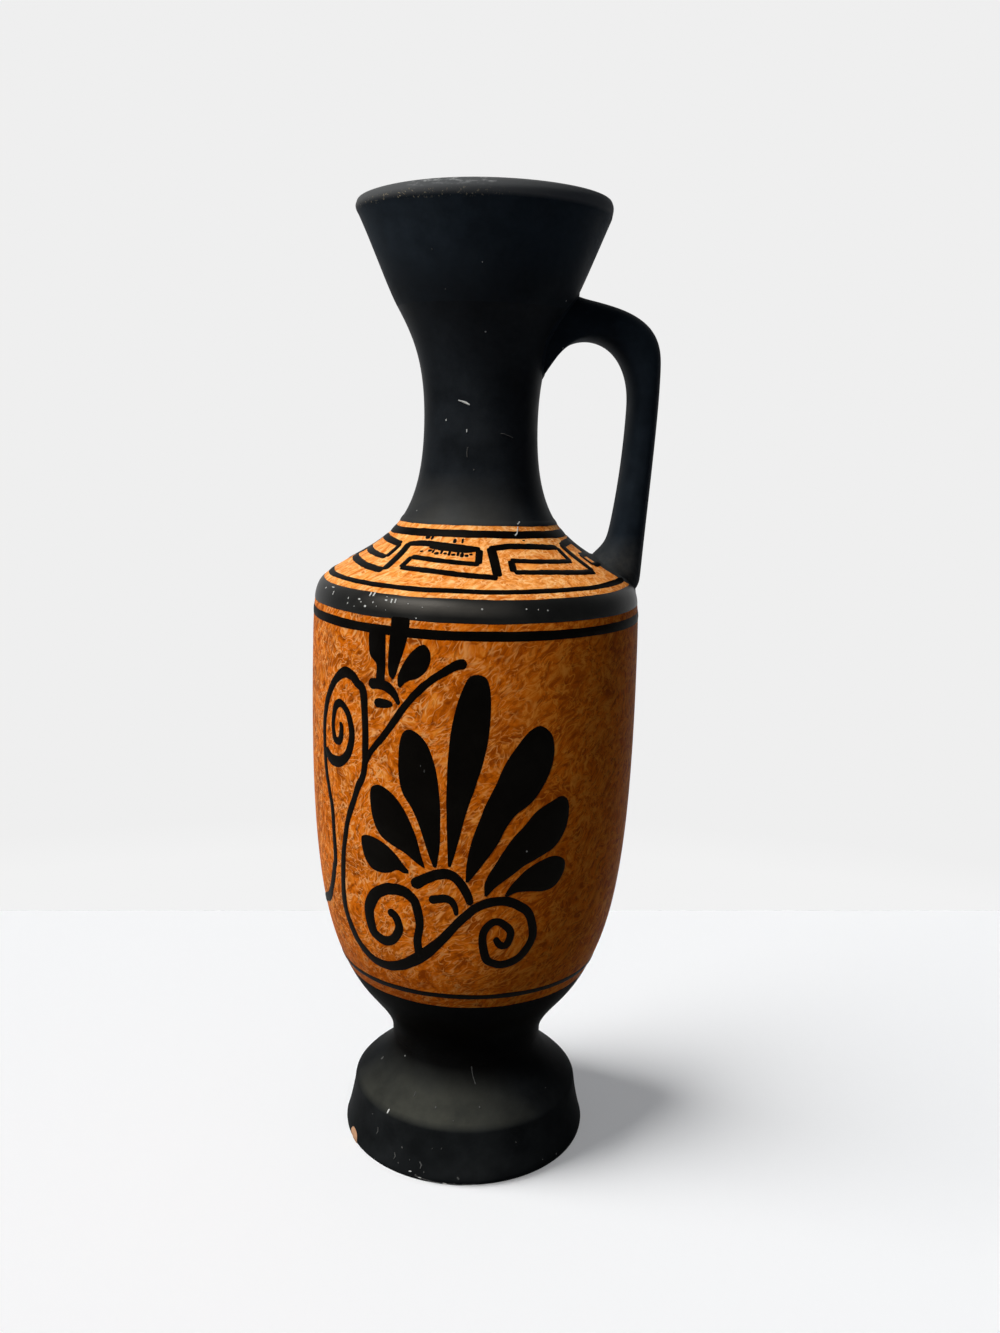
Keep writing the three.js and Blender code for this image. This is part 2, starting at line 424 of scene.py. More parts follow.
def turned(name, section):
    """A closed section of radius and height, turned about the vessel's axis."""
    piece = fresh(
        bpy.ops.mesh.primitive_circle_add, name, vertices=len(section), fill_type="NOTHING"
    )
    lay(piece, [(radius, 0, height) for radius, height in section])
    turns = bpy.context.scene.pitcher_outline.turns
    once_round = dict(steps=turns, angle=2 * math.pi, center=(0, 0, 0), axis=(0, 0, 1))
    in_edit_mode(
        piece,
        (bpy.ops.mesh.spin, once_round),
        (bpy.ops.mesh.remove_doubles, dict(threshold=CLAY_WELD)),
        (bpy.ops.mesh.delete_loose, dict(use_verts=True, use_edges=True, use_faces=False)),
        (bpy.ops.mesh.normals_make_consistent, dict(inside=False)),
    )
    return piece


def bare(piece, faces):
    """Gives the second finish to the faces that are marked."""
    piece.data.polygons.foreach_set("material_index", np.array(faces, np.int32))


def inside_wall(piece, line):
    """For each face, whether it lies on the inner side of the wall."""
    depth = bpy.context.scene.pitcher_outline.wall / 3
    centres = [face.center for face in piece.data.polygons]
    return [
        math.hypot(c.x, c.y) < np.interp(c.z, line[:, 1], line[:, 0]) - depth for c in centres
    ]


# Brushwork

# Height over which a brushed edge changes its waver, and what sets two strokes apart
WAVER_HEIGHT, WAVER_STEP = 6 * MM, 7.3
# Pace of the waver in strokes, and the slow and the quick one in bands
PACE, SLOW, QUICK, QUICK_SHARE = 22, 4, 13, 0.4
# Share of its thickness that a film loses at its edges, and how abruptly
THINNED, THINNED_AT_EDGE = 0.7, 6
# Films that cross differ by this much in height, in so many steps
LAYER, LAYERS = 0.003 * MM, 5
# Millimetres of the belly's girth for each degree
GIRTH = 0.77
# Rows of film from one given point to the next, in a leaf and round a band
STEPS, LEAF_ROWS, BAND_ROWS = 8, 56, 241
# Length of one row in a stroke, and rows in each of its rounded ends
ROW, END_ROWS = 0.7 * MM, 6


def waver(azimuth, height, seed, pace=PACE):
    """A waver between -1 and 1 that closes on itself round the vessel, quicker at a higher pace."""
    turn = math.radians(azimuth)
    level = height / WAVER_HEIGHT + WAVER_STEP * seed
    return noise.noise(Vector((pace * math.cos(turn), pace * math.sin(turn), level)))


def through(points):
    """A smooth line through given points, of any number of columns."""
    points = np.array(points, float)
    gaps = np.sqrt(np.maximum(np.linalg.norm(np.diff(points[:, :2], axis=0), axis=1), 1e-9))
    knots = np.concatenate([[0], np.cumsum(gaps)])
    if len(points) > 2:
        slopes = np.gradient(points, knots, axis=0)
    else:
        slopes = np.repeat(np.diff(points, axis=0) / gaps[:, None], 2, axis=0)
    t = np.arange(STEPS)[:, None] / STEPS
    line = []
    for i, span in enumerate(np.diff(knots)):
        line.append(
            (2 * t ** 3 - 3 * t ** 2 + 1) * points[i]
            + (t ** 3 - 2 * t ** 2 + t) * span * slopes[i]
            + (3 * t ** 2 - 2 * t ** 3) * points[i + 1]
            + (t ** 3 - t ** 2) * span * slopes[i + 1]
        )
    return np.vstack([*line, points[-1:]])


def evenly(line, count):
    """A line of places set out again in even steps."""
    run = run_of(line)
    wanted = np.linspace(0, run[-1], count)
    return np.stack([np.interp(wanted, run, column) for column in line.T], 1)


def film(name, skin, left, right, seed, columns=4):
    """A thin skin of paint between two edges, which are rows of azimuth and height."""
    paint = bpy.context.scene.pitcher_outline.paint
    rows = len(left)
    grid = dict(x_subdivisions=columns, y_subdivisions=rows - 1, size=1)
    piece = fresh(bpy.ops.mesh.primitive_grid_add, name, **grid)
    share = corners(piece)[:, :2] + 0.5
    row = np.clip(np.rint(share[:, 1] * (rows - 1)).astype(int), 0, rows - 1)
    across = share[:, :1]
    spots = left[row] * (1 - across) + right[row] * across
    lift = paint * (1 - (2 * across[:, 0] - 1) ** THINNED_AT_EDGE * THINNED)
    lay(piece, skin.place(spots[:, 0], spots[:, 1], lift + LAYER * (seed % LAYERS)))
    in_edit_mode(piece, (bpy.ops.mesh.remove_doubles, dict(threshold=PAINT_WELD)))
    # Outwards is away from the axis, and a little upwards
    out = sum(
        face.area * face.normal.dot(Vector((face.center.x, face.center.y, face.center.z / 9)))
        for face in piece.data.polygons
    )
    if out < 0:
        in_edit_mode(piece, (bpy.ops.mesh.flip_normals, {}))
    modified(piece, "SOLIDIFY", thickness=2 * paint, offset=-1)
    return piece


def ring(name, skin, low, high, columns, sag):
    """A band of paint right round the vessel, between two wavering edges that sag at the sides."""
    amount = bpy.context.scene.pitcher_paint.waver
    seed = len(name)
    azimuths = np.linspace(0, 360, BAND_ROWS)
    edges = []
    for shift, height in enumerate((low, high)):
        slow, quick = (
            np.array([waver(a, height, seed + shift, pace) for a in azimuths])
            for pace in (SLOW, QUICK)
        )
        sagged = height + amount * (slow + QUICK_SHARE * quick)
        sagged -= sag * np.sin(np.radians(azimuths)) ** 2
        edges.append(np.stack([azimuths, sagged], 1))
    return film(name, skin, *edges, seed, columns)


def stroke(name, skin, points, seed, full=2.0):
    """One brush stroke along points of azimuth, height and width, the last two in millimetres.

    A fuller stroke has blunter ends.
    """
    amount = bpy.context.scene.pitcher_paint.waver
    line = through([(a, h * MM, w * MM) for a, h, w in points])
    run = run_of(skin.place(line[:, 0], line[:, 1]))
    first, last = (min(width, run[-1]) / 2 for width in (line[0, 2], line[-1, 2]))
    body = np.linspace(first, run[-1] - last, max(int(run[-1] / ROW), 3))
    turn = np.linspace(0, math.pi / 2, END_ROWS)[:-1]
    ends = first * (1 - np.cos(turn)), run[-1] - last * (1 - np.cos(turn[::-1]))
    stations = np.concatenate([ends[0], body, ends[1]])
    azimuth, height, width = (np.interp(stations, run, column) for column in line.T)
    ahead = np.minimum(stations / first, (run[-1] - stations) / last)
    round_off = (1 - np.clip(1 - ahead, 0, 1) ** full) ** (1 / full)
    spots = skin.place(azimuth, height)
    side = np.cross(skin.place(azimuth, height, 1.0) - spots, unit(np.gradient(spots, axis=0)))
    edges = []
    for sign in (-1, 1):
        shake = np.array([waver(a, h, seed + sign) for a, h in zip(azimuth, height)])
        half = (width / 2 + amount * shake) * round_off * sign
        edge = spots + side * half[:, None]
        around = np.degrees(np.arctan2(edge[:, 1], edge[:, 0])) - FRONT
        around = azimuth + (around - azimuth + 180) % 360 - 180
        edges.append(np.stack([around, edge[:, 2]], 1))
    return film(name, skin, *edges, seed)


def leaf(skin, left, right, seed):
    """A leaf between two edges from its root to its tip, with heights in millimetres."""
    amount = bpy.context.scene.pitcher_paint.waver
    blunt = left[-1] != right[-1]
    whole = through([(a * GIRTH, h) for a, h in [*left, *right[::-1][not blunt:]]])
    tip = (len(left) - 1) * STEPS
    edges = []
    for shift, line in enumerate((whole[:tip + 1], whole[tip + STEPS * blunt:][::-1])):
        line = evenly(line, LEAF_ROWS)
        line[:, 0] /= GIRTH
        line[:, 1] *= MM
        ease = np.sin(np.linspace(0, math.pi, len(line))) ** 0.5
        shake = np.array([waver(a, h, seed + shift) for a, h in line])
        line[:, 0] += shake * ease * amount / MM
        edges.append(line)
    return film("leaf", skin, *edges, seed, columns=12)


def mirrored(points):
    """The same points on the other side of the upright plane between the two palmettes."""
    return [(2 * MIRROR - p[0], *p[1:]) for p in points]


def dab(skin, azimuth, height, wide, high, seed):
    """A small spot of paint along its longer side, its sizes in millimetres."""
    radius = np.interp(height * MM, skin.height, skin.radius) / MM
    reach, width = sorted((wide, high), reverse=True)
    if wide > high:
        ends = [(azimuth + math.degrees(side * reach / 2 / radius), height) for side in (-1, 0, 1)]
    else:
        ends = [(azimuth, height + side * reach / 2) for side in (-1, 0, 1)]
    return stroke("dab", skin, [(a, h, width) for a, h in ends], seed)


# Ornament of the body: azimuth in degrees, height and width in millimetres

PALMETTE = [
    ([(-7.3, 89.2), (-7.7, 97), (-8.1, 106), (-8, 113), (-7.2, 122), (-5.5, 129), (-3.1, 134.5),
      (-1.4, 136.6), (1, 137)],
     [(-6.3, 89.2), (-4.3, 94.5), (-2, 102), (0.8, 109), (3.1, 115), (4.8, 122), (5.3, 129),
      (4.7, 134), (3.4, 136.4), (1, 137)]),
    ([(-12.2, 88.8), (-14.3, 93), (-17, 99), (-19.8, 103.5), (-22.5, 106.3), (-24, 110),
      (-24.3, 115.5), (-23.8, 119.5), (-22.6, 121.9), (-20.6, 122.7)],
     [(-11, 88.8), (-10, 95), (-10, 103), (-10.8, 110), (-12.3, 115.3), (-14.8, 119.6), (-18, 122),
      (-20.6, 122.7)]),
    ([(-15, 88.4), (-16.5, 92), (-18.2, 96.5), (-21, 101), (-24.5, 104.7), (-28, 106.7),
      (-31.5, 107.6), (-34.3, 106.9)],
     [(-15.4, 88.2), (-17.7, 89.2), (-22, 91.4), (-27, 93), (-31, 94.7), (-33.7, 97.8), (-35, 102),
      (-35.1, 105.4), (-34.3, 106.9)]),
    ([(-20.7, 87), (-22.5, 88.3), (-25, 90.4), (-28.5, 92.4), (-33, 93.7), (-37, 93.9),
      (-39.3, 93.1)],
     [(-20.9, 86.2), (-22.4, 86.1), (-24.8, 86.6), (-28, 85.5), (-32, 85), (-35.5, 85.6),
      (-38, 87.6), (-39.4, 91), (-39.3, 93.1)]),
    ([(-1.4, 85.4), (-1.2, 90), (0, 95), (2.1, 100), (4.4, 105), (7.5, 110), (10.2, 115),
      (14.5, 120), (18.3, 123.2), (21.5, 124.2)],
     [(-0.4, 85.4), (3.8, 89.6), (8.6, 95), (12, 100), (15, 102.7), (19.3, 105), (23.3, 109),
      (26.2, 114), (26.8, 118), (25.5, 122), (21.5, 124.2)]),
    ([(5, 81.8), (4.9, 85), (8.5, 90.3), (13, 95.7), (17.3, 99.3), (21.5, 102.8), (26.4, 104.8),
      (30.3, 105.9)],
     [(5.8, 81.6), (8.5, 83.8), (13, 86.3), (18, 89), (24, 91.1), (28.5, 92.8), (31.8, 95.6),
      (33.4, 99), (33.6, 103), (32.6, 105), (30.3, 105.9)]),
    ([(11.8, 81.6), (13, 83.3), (15.5, 85.6), (19, 88), (24, 89.9), (29, 90.6), (33, 89.2)],
     [(12.5, 81.2), (16, 82.2), (21, 82.1), (26, 81.7), (30, 82.5), (32.8, 85), (33.7, 87.4),
      (33, 89.2)]),
]
HEART = [
    [(-19.7, 83.2, 3.2), (-15, 85.4, 2.8), (-11, 86.8, 2.6), (-7.5, 87.2, 2.6), (-4.5, 86.2, 2.5),
     (-2, 83.8, 2.3), (-0.4, 81.5, 2.0), (0.4, 79.3, 1.6)],
    [(-13.7, 79.9, 2.4), (-10.5, 80.5, 2.3), (-7.5, 80.7, 2.0), (-5.5, 79.7, 1.8), (-4.5, 78, 1.4),
     (-4.2, 76.4, 0.9)],
]
STEM = [
    (-49.6, 133.5, 2.2), (-46.4, 134.0, 2.9), (-41.4, 132.2, 2.5), (-37.6, 125.5, 2.3),
    (-37.2, 115.5, 2.1), (-41, 105, 1.9), (-46.5, 95, 1.8), (-50.5, 82, 2.0), (-51.7, 73, 2.2),
    (-49, 66, 2.4), (-42.5, 60.6, 2.6), (-34, 58.9, 2.7), (-25, 60.6, 3.0),
]
SCROLL = [
    (-17, 64.3, 3.3), (-10, 69, 2.5), (-3, 75, 2.3), (3, 78.9, 2.4), (10, 80.2, 2.5),
    (17, 78.7, 2.4), (22, 74.6, 2.3), (23.4, 70, 2.2), (21, 65.8, 2.3), (16, 63, 2.3),
    (10, 62.9, 2.3), (5.8, 65.8, 2.2), (4.9, 70.5, 2.1), (7.6, 74.3, 2.1), (12, 74, 2.0),
    (14.8, 71, 2.0), (13.8, 68.4, 2.0), (11, 68.4, 1.8), (9.2, 70.4, 1.3),
]
VOLUTE = [
    (-17.8, 64, 2.6), (-18.3, 68, 2.2), (-17.2, 73, 2.2), (-18, 77.5, 2.5), (-21, 80.6, 2.8),
    (-26, 81.4, 3.0), (-31, 80.4, 3.1), (-35.8, 77.3, 3.3), (-38, 73, 3.3), (-37.3, 69, 3.1),
    (-34.5, 66.8, 2.9), (-30.5, 66.5, 2.7), (-27, 68.3, 2.4), (-25.1, 71.3, 2.3),
    (-26.2, 73.8, 2.3), (-29.3, 75.2, 2.4),
]
SIDE_STEM = [
    (-44.2, 133.6, 2.4), (-47, 134.0, 2.8), (-51, 132.4, 2.4), (-55.5, 128.7, 2.2),
    (-59, 123.5, 2.2), (-60.6, 117, 2.1), (-59.9, 109, 2.0), (-57, 101, 1.9), (-55.2, 94, 1.9),
    (-55, 87, 1.9), (-56.8, 81, 2.0), (-60.5, 75.3, 2.2), (-65.5, 71, 2.4), (-72, 68.8, 2.3),
    (-80, 66.3, 2.2), (-90, 63, 2.4), (-101, 62.2, 2.8),
]
SPIRAL = [
    (-59.6, 112.4, 2.2), (-56, 110.6, 2.9), (-52, 110.3, 3.0), (-48, 111.5, 2.6),
    (-44.7, 114.5, 2.2), (-43.4, 118.5, 2.2), (-44.3, 122, 2.2), (-47.2, 125, 2.0),
    (-50.5, 125.6, 2.1), (-53, 123.5, 2.0), (-54, 119.5, 1.8), (-53.3, 116.7, 2.0),
    (-51.3, 115.7, 2.0), (-49.3, 117, 2.0), (-48.8, 119.5, 1.8), (-49.9, 120.8, 1.2),
]
TENDRIL = [
    (-38.2, 110.7, 1.2), (-35, 115.3, 1.6), (-30, 120, 1.8), (-25, 125.3, 1.8), (-20, 130.4, 1.9),
    (-15, 134.3, 1.9), (-10, 137.2, 2.0), (-6, 139, 2.3), (-2.6, 139.9, 2.8),
]
BUD = [
    ([(-36.4, 147), (-36.3, 142), (-35.6, 139.6), (-33, 137.5), (-32.8, 133.6)],
     [(-29.8, 147), (-29.6, 142), (-29.5, 138), (-29.7, 135), (-29.8, 133.6)]),
    ([(-28, 149.7), (-28, 147), (-28.4, 142), (-28.6, 137.5), (-28, 135.2), (-26.8, 134.5)],
     [(-21.4, 149.7), (-21.4, 147.5), (-22.4, 143.3), (-24.4, 138.7), (-26, 135), (-26.8, 134.5)]),
    ([(-24.8, 133), (-25, 135), (-23.5, 138), (-21, 141), (-18, 143.2), (-16, 143.6)],
     [(-24, 132.6), (-21.5, 134.4), (-18, 135.4), (-15.3, 137.3), (-14, 140), (-14.4, 142.3),
      (-16, 143.6)]),
]
BUD_LINES = [
    [(-36, 132.3, 2.8), (-33, 132.8, 2.8), (-29.5, 132.6, 2.6), (-26.8, 131.4, 2.2),
     (-25.2, 129.8, 1.6), (-24.4, 128.4, 1.0)],
    [(-33.6, 128.1, 2.4), (-30, 128.2, 2.4), (-26.6, 128.2, 1.2)],
]

# Plane between the palmette and its like on the side that faces away
MIRROR = -63.0

# Key pattern of the shoulder, from the upright stroke of one key to the next
KEYS = 7
KEY_START = -43.7
KEY_STROKES = [
    [(-0.3, 165.45, 2.3), (0.4, 162.3, 2.5), (0.7, 159.3, 2.4)],
    [(-1.4, 165.15, 1.9), (10, 165.7, 2.0), (30, 165.4, 2.0), (45, 164.9, 1.9)],
    [(44.6, 164.9, 1.8), (44.2, 161.8, 1.8)],
    [(44.6, 161.8, 1.8), (25, 162.2, 1.8), (8.6, 162.6, 1.9)],
    [(8.9, 162.6, 1.8), (8.2, 160.2, 1.9)],
    [(8.2, 160.2, 1.9), (25, 159.95, 2.05), (40, 159.45, 2.15), (52, 159.1, 2.2)],
]
# Ragged paint that hangs under the top line of one key
KEY_MASS = [
    (-28.5, 165.0, 0.9), (-22, 164.9, 1.5), (-14, 164.8, 1.7), (-8, 164.6, 1.6), (-2.5, 164.6, 1.1),
]
KEY_DABS = [
    (-31.6, 163.9, 1.0, 0.7), (-26.8, 164.2, 1.2, 0.9), (-24.6, 164.1, 0.8, 0.8),
    (-22.2, 163.7, 1.3, 1.1), (-19.6, 164.0, 0.7, 0.8), (-17.4, 163.8, 1.0, 0.9),
    (-15.2, 163.9, 0.7, 1.1), (-12.8, 163.6, 1.2, 0.9), (-10.4, 163.8, 0.7, 0.9),
    (-8.2, 163.6, 0.9, 1.0), (-5.8, 163.5, 1.1, 0.9), (-3.6, 163.8, 0.9, 0.8),
    (-33.2, 167.2, 1.5, 1.3), (-29.8, 167.2, 0.8, 1.1), (-14.2, 166.7, 0.9, 1.0),
    (-9.4, 166.8, 0.7, 1.1), (29.3, 167.0, 0.8, 0.4),
]

# Ragged front edge of the black patch under the handle, and how far round it reaches
ROOT_EDGE = [
    (79.0, 166.4), (75.2, 165.4), (76.5, 162.9), (73.6, 161.9), (73.4, 159.9), (73.0, 158.7),
    (75.0, 156.8), (74.6, 156.2), (76.4, 155.6), (82.3, 153.9),
]
ROOT_MIDDLE = 92.0

# Pale specks: azimuth, height, width and height of the speck in millimetres
SPECKS = [
    (-60.5, 153.9, 1.4, 0.25), (-58, 152.7, 0.4, 1.0), (-66, 153.2, 0.4, 0.4),
    (-47.6, 151.2, 0.4, 0.4), (-47.9, 152.4, 0.2, 0.5), (-44, 150.8, 0.35, 0.25),
    (-42.4, 152.6, 0.8, 0.4), (-41.2, 152.1, 0.4, 0.35), (-39, 151.2, 0.7, 0.6),
    (-38.4, 154.1, 0.4, 0.95), (-36.9, 154.2, 0.35, 0.95), (-36, 152.4, 0.35, 0.4),
    (-34.2, 151.6, 0.25, 0.4), (-31.2, 154.0, 0.4, 0.35), (-31.0, 153.3, 0.75, 0.25),
    (-28.9, 153.2, 0.3, 0.95), (-27.4, 153.3, 0.3, 0.95), (-30.4, 151.0, 0.25, 0.25),
    (-19.2, 149.8, 0.35, 0.25), (-22.6, 152.9, 0.4, 0.2), (-17.5, 152.4, 0.3, 0.2),
    (16.2, 152.6, 0.4, 0.3), (20.2, 152.4, 0.25, 0.25), (23.5, 152.1, 0.4, 0.3),
    (-35.9, 197.0, 0.4, 0.5), (-13.4, 194.4, 0.25, 0.9), (-1.3, 235.5, 0.25, 0.25),
    (-41.6, 14.3, 0.5, 0.9), (-24.4, 2.4, 0.7, 0.25), (-19.6, 1.4, 0.9, 0.3), (-8, 0.9, 1.0, 0.2),
]
FAINT_SPECKS = [
    (-75.5, 19.9, 0.5, 0.7), (-21.6, 1.9, 0.5, 0.35), (-17.8, 3.0, 0.35, 0.4),
    (-14.7, 9, 0.25, 0.3), (-25.4, 5, 0.3, 0.3), (-3.6, 0.9, 0.6, 0.3), (1, 0.8, 1.2, 0.25),
    (-10.5, 9.3, 0.2, 0.25), (-5.4, 15.6, 0.4, 0.35), (-16.2, 17.4, 0.35, 0.35),
    (54.9, 17.3, 0.4, 0.3), (40, 3, 0.3, 0.3), (49, 2.4, 0.35, 0.5), (-9, 152.9, 0.4, 0.2),
    (-16.6, 114.0, 0.25, 0.5), (-15.3, 112.8, 0.3, 0.7), (-5.6, 184.5, 0.4, 0.4),
    (-27.3, 238.5, 0.35, 0.5), (-23.1, 229.3, 0.3, 0.3), (-52, 11.4, 0.3, 0.3),
    (-31, 3.4, 0.4, 0.3), (26, 9.6, 0.3, 0.3), (9, 17.8, 0.3, 0.3),
]
SCRATCHES = [
    [(31.6, 171.5, 0.25), (28.9, 170.8, 0.28)],
    [(28.7, 170.3, 0.2), (27.4, 169.3, 0.28), (26.3, 168.5, 0.3), (24.3, 168.2, 0.45)],
    [(-22.6, 202.1, 0.2), (-19.0, 201.9, 0.45), (-14.8, 201.5, 0.6), (-11.2, 201.0, 0.25)],
]
SCUFFS = [
    [(4.8, 26, 0.15), (5.6, 24, 0.2), (7.4, 21.8, 0.15)],
    [(-31.7, 19.0, 0.2), (-31.2, 18.5, 0.3), (-31.6, 18.1, 0.2)],
    [(-46.5, 9.2, 0.15), (-46.0, 8.2, 0.2), (-46.8, 7.4, 0.15)],
    [(-34.0, 5.4, 0.15), (-33.2, 4.6, 0.25), (-33.8, 3.8, 0.15)],
    [(-30.6, 7.4, 0.5), (-29.8, 7.2, 0.3)],
    [(-20.4, 5.2, 0.3), (-19.2, 4.4, 0.5), (-19.8, 3.6, 0.3)],
    [(-2.4, 2.8, 0.3), (-1.6, 2.2, 0.3)],
    [(19.5, 193.9, 0.15), (24.0, 193.7, 0.2), (30.0, 193.2, 0.25), (33.0, 192.8, 0.15)],
    [(-12.5, 190.2, 0.15), (-13.0, 188.8, 0.2), (-12.6, 187.6, 0.15)],
    [(-22, 1.6, 0.2), (-12, 0.9, 0.3), (-2, 0.7, 0.3), (6, 0.8, 0.2)],
]
# Where a flake has come off the edge of the foot
CHIP = [(-69.0, 2.7, 1.4), (-66, 2.5, 2.6), (-63.2, 1.8, 2.8), (-60.8, 1.1, 1.4)]


# Finishes

class Nodes:
    """The shader nodes of one tree, added in few words."""

    def __init__(self, tree):
        self.tree = tree

    def feed(self, socket, value):
        """Links a socket to what feeds it, or gives it a plain value."""
        if isinstance(value, bpy.types.NodeSocket):
            self.tree.links.new(value, socket)
        else:
            socket.default_value = (*value, 1.0) if socket.type == "RGBA" else value

    def add(self, kind, inputs=None, **settings):
        """Adds a node, sets it and feeds it, and gives its outputs."""
        made = self.tree.nodes.new("ShaderNode" + kind)
        for name, value in settings.items():
            setattr(made, name, value)
        for key, value in (inputs or {}).items():
            self.feed(made.inputs[key], value)
        return made.outputs

    def place(self):
        """Where on the piece a point lies."""
        return self.add("TexCoord")["Object"]

    def height(self, place):
        """The height of a place."""
        return self.add("SeparateXYZ", {0: place})[2]

    def cloud(self, place, size, detail=3.0, rough=0.55, distort=0.0):
        """Noise whose blobs are about the given size across."""
        look = {"Scale": 1 / size, "Detail": detail, "Roughness": rough, "Distortion": distort}
        return self.add("TexNoise", {"Vector": place, **look})["Fac"]

    def ranged(self, value, low, high, start=0.0, end=1.0):
        """A value stretched from one range to another, and held inside it."""
        ends = {"From Min": low, "From Max": high, "To Min": start, "To Max": end}
        return self.add("MapRange", {"Value": value, **ends}, clamp=True)["Result"]

    def maths(self, operation, a, b=0.0):
        """One sum."""
        return self.add("Math", {0: a, 1: b}, operation=operation)[0]

    def times(self, a, b):
        """One value by another."""
        return self.maths("MULTIPLY", a, b)

    def away(self, value, middle):
        """How far a value lies from a middle."""
        return self.maths("ABSOLUTE", self.maths("SUBTRACT", value, middle))

    def scaled(self, place, scale):
        """A place stretched or squeezed along its axes."""
        return self.add("Mapping", {"Vector": place, "Scale": scale})[0]

    def blended(self, share, a, b):
        """One colour over another."""
        return self.add("Mix", {0: share, 6: a, 7: b}, data_type="RGBA")[2]

    def towards(self, place, azimuth):
        """How far a place lies out in one direction, which is measured from the painted front."""
        x, y, _ = self.add("SeparateXYZ", {0: place})
        side = math.radians(FRONT + azimuth)
        return self.maths("ADD", self.times(x, math.cos(side)), self.times(y, math.sin(side)))


class Finish(Nodes):
    """A new material with its principled shader and the marks of the hand."""

    def __init__(self, name, roughness, specular, **marks):
        self.material = bpy.data.materials.new(name)
        self.material.use_nodes = True
        super().__init__(self.material.node_tree)
        self.shader = self.tree.nodes["Principled BSDF"].inputs
        self.shader["Roughness"].default_value = roughness
        self.shader["Specular IOR Level"].default_value = specular
        sizes = {key.replace("_", " ").capitalize(): size for key, size in marks.items()}
        self.marks = self.add("Group", sizes, node_tree=hand_marks())

    def laid(self, tone, relief, strength, depth):
        """Gives the finish its colour and its relief."""
        self.feed(self.shader["Base Color"], tone)
        bump = {"Strength": strength, "Distance": depth, "Height": relief}
        self.feed(self.shader["Normal"], self.add("Bump", bump)["Normal"])
        return self.material


def hand_marks():
    """The node group of mottle, grain and turning rings that all the finishes share."""
    known = bpy.data.node_groups.get("Hand finish")
    if known:
        return known
    tree = bpy.data.node_groups.new("Hand finish", "ShaderNodeTree")
    plain = dict(socket_type="NodeSocketFloat")
    for label, size in (("Mottle size", 0.009), ("Grain size", 0.0006)):
        tree.interface.new_socket(label, in_out="INPUT", **plain).default_value = size
    for label in ("Mottle", "Grain", "Height"):
        tree.interface.new_socket(label, in_out="OUTPUT", **plain)
    n = Nodes(tree)
    given = tree.nodes.new("NodeGroupInput").outputs
    place = n.place()
    marks = {}
    for label, detail, rough in (("Mottle", 4.0, 0.6), ("Grain", 2.0, 0.5)):
        scale = n.maths("DIVIDE", 1.0, given[label + " size"])
        look = {"Vector": place, "Scale": scale, "Detail": detail, "Roughness": rough}
        marks[label] = n.add("TexNoise", look)["Fac"]
    rings = n.cloud(n.scaled(place, (0.12, 0.12, 1.0)), 0.0022, detail=2.0)
    height = n.maths("ADD", n.times(marks["Mottle"], 0.5), n.times(marks["Grain"], 0.18))
    marks["Height"] = n.maths("ADD", height, n.times(rings, 0.1))
    result = tree.nodes.new("NodeGroupOutput").inputs
    for label, value in marks.items():
        n.feed(result[label], value)
    return tree


# Shares of a finish's own colour where its mottle is darkest and lightest
BLACK_SHADES, CLAY_SHADES, PALE_SHADE = (0.7, 1.4), (0.78, 1.22), 0.7
# Values of the mottle between which a black paint changes its tone, and all else changes
BLACK_MOTTLE, MOTTLE = (0.32, 0.7), (0.3, 0.7)
# How strongly the shine of a black paint takes on its colour
SHINE_TINT = 0.8
# Width of the drifts of dust on a black paint, and how they set in and how far
DUST_WIDTH, DUST = 0.018, (0.5, 0.78, 0.0, 0.05)
# Pin-pricks for each metre, which of them show, their size, and how much pale body they show
PRICKS, LUCKY, PRICK_EDGE, PRICK_SHOWS = 240.0, (0.955, 0.96), (0.07, 0.04), 0.6
# What a patch of wear takes in when it isn't told: every height, and all round
FROM_BASE, TO_TOP, ALL_ROUND = (0.0, 0.001), (1.1, 1.0), (-0.05, -0.04)


def black_paint(name, tint, specular, sheen, paint, glint=None, patches=(), worn_rim=False):
    """Matte black paint with slow changes of tone, patches and a few pin-prick chips.

    Its patches are dusty drifts, smears, darker paint, painted highlights and painted shade.
    """
    f = Finish(name, sheen[1], specular)
    own = [(part / max(tint)) ** SHINE_TINT for part in tint]
    f.feed(f.shader["Specular Tint"], own if glint is None else glint)
    place = f.place()
    low, high = ([part * share for part in tint] for share in BLACK_SHADES)
    tone = f.blended(f.ranged(f.marks["Mottle"], *BLACK_MOTTLE), low, high)
    dust_and_sheen = f.ranged(f.cloud(place, DUST_WIDTH, detail=5.0), *DUST)
    tone = f.blended(dust_and_sheen, tone, paint.dust_and_sheen)
    for patch in patches:
        tone = rubbed_and_painted_light(f, place, tone, **patch)
    cells = f.add("TexVoronoi", {"Vector": place, "Scale": PRICKS})
    lucky = f.ranged(f.add("SeparateColor", {0: cells["Color"]})[0], *LUCKY)
    pricks = f.times(f.ranged(cells["Distance"], *PRICK_EDGE), lucky)
    tone = f.blended(f.times(pricks, PRICK_SHOWS), tone, paint.speck)
    if worn_rim:
        tone = rim_wear(f, place, tone, paint)
    f.feed(f.shader["Roughness"], f.ranged(f.marks["Mottle"], *MOTTLE, *sheen))
    return f.laid(tone, f.marks["Height"], strength=0.35, depth=0.35 * MM)


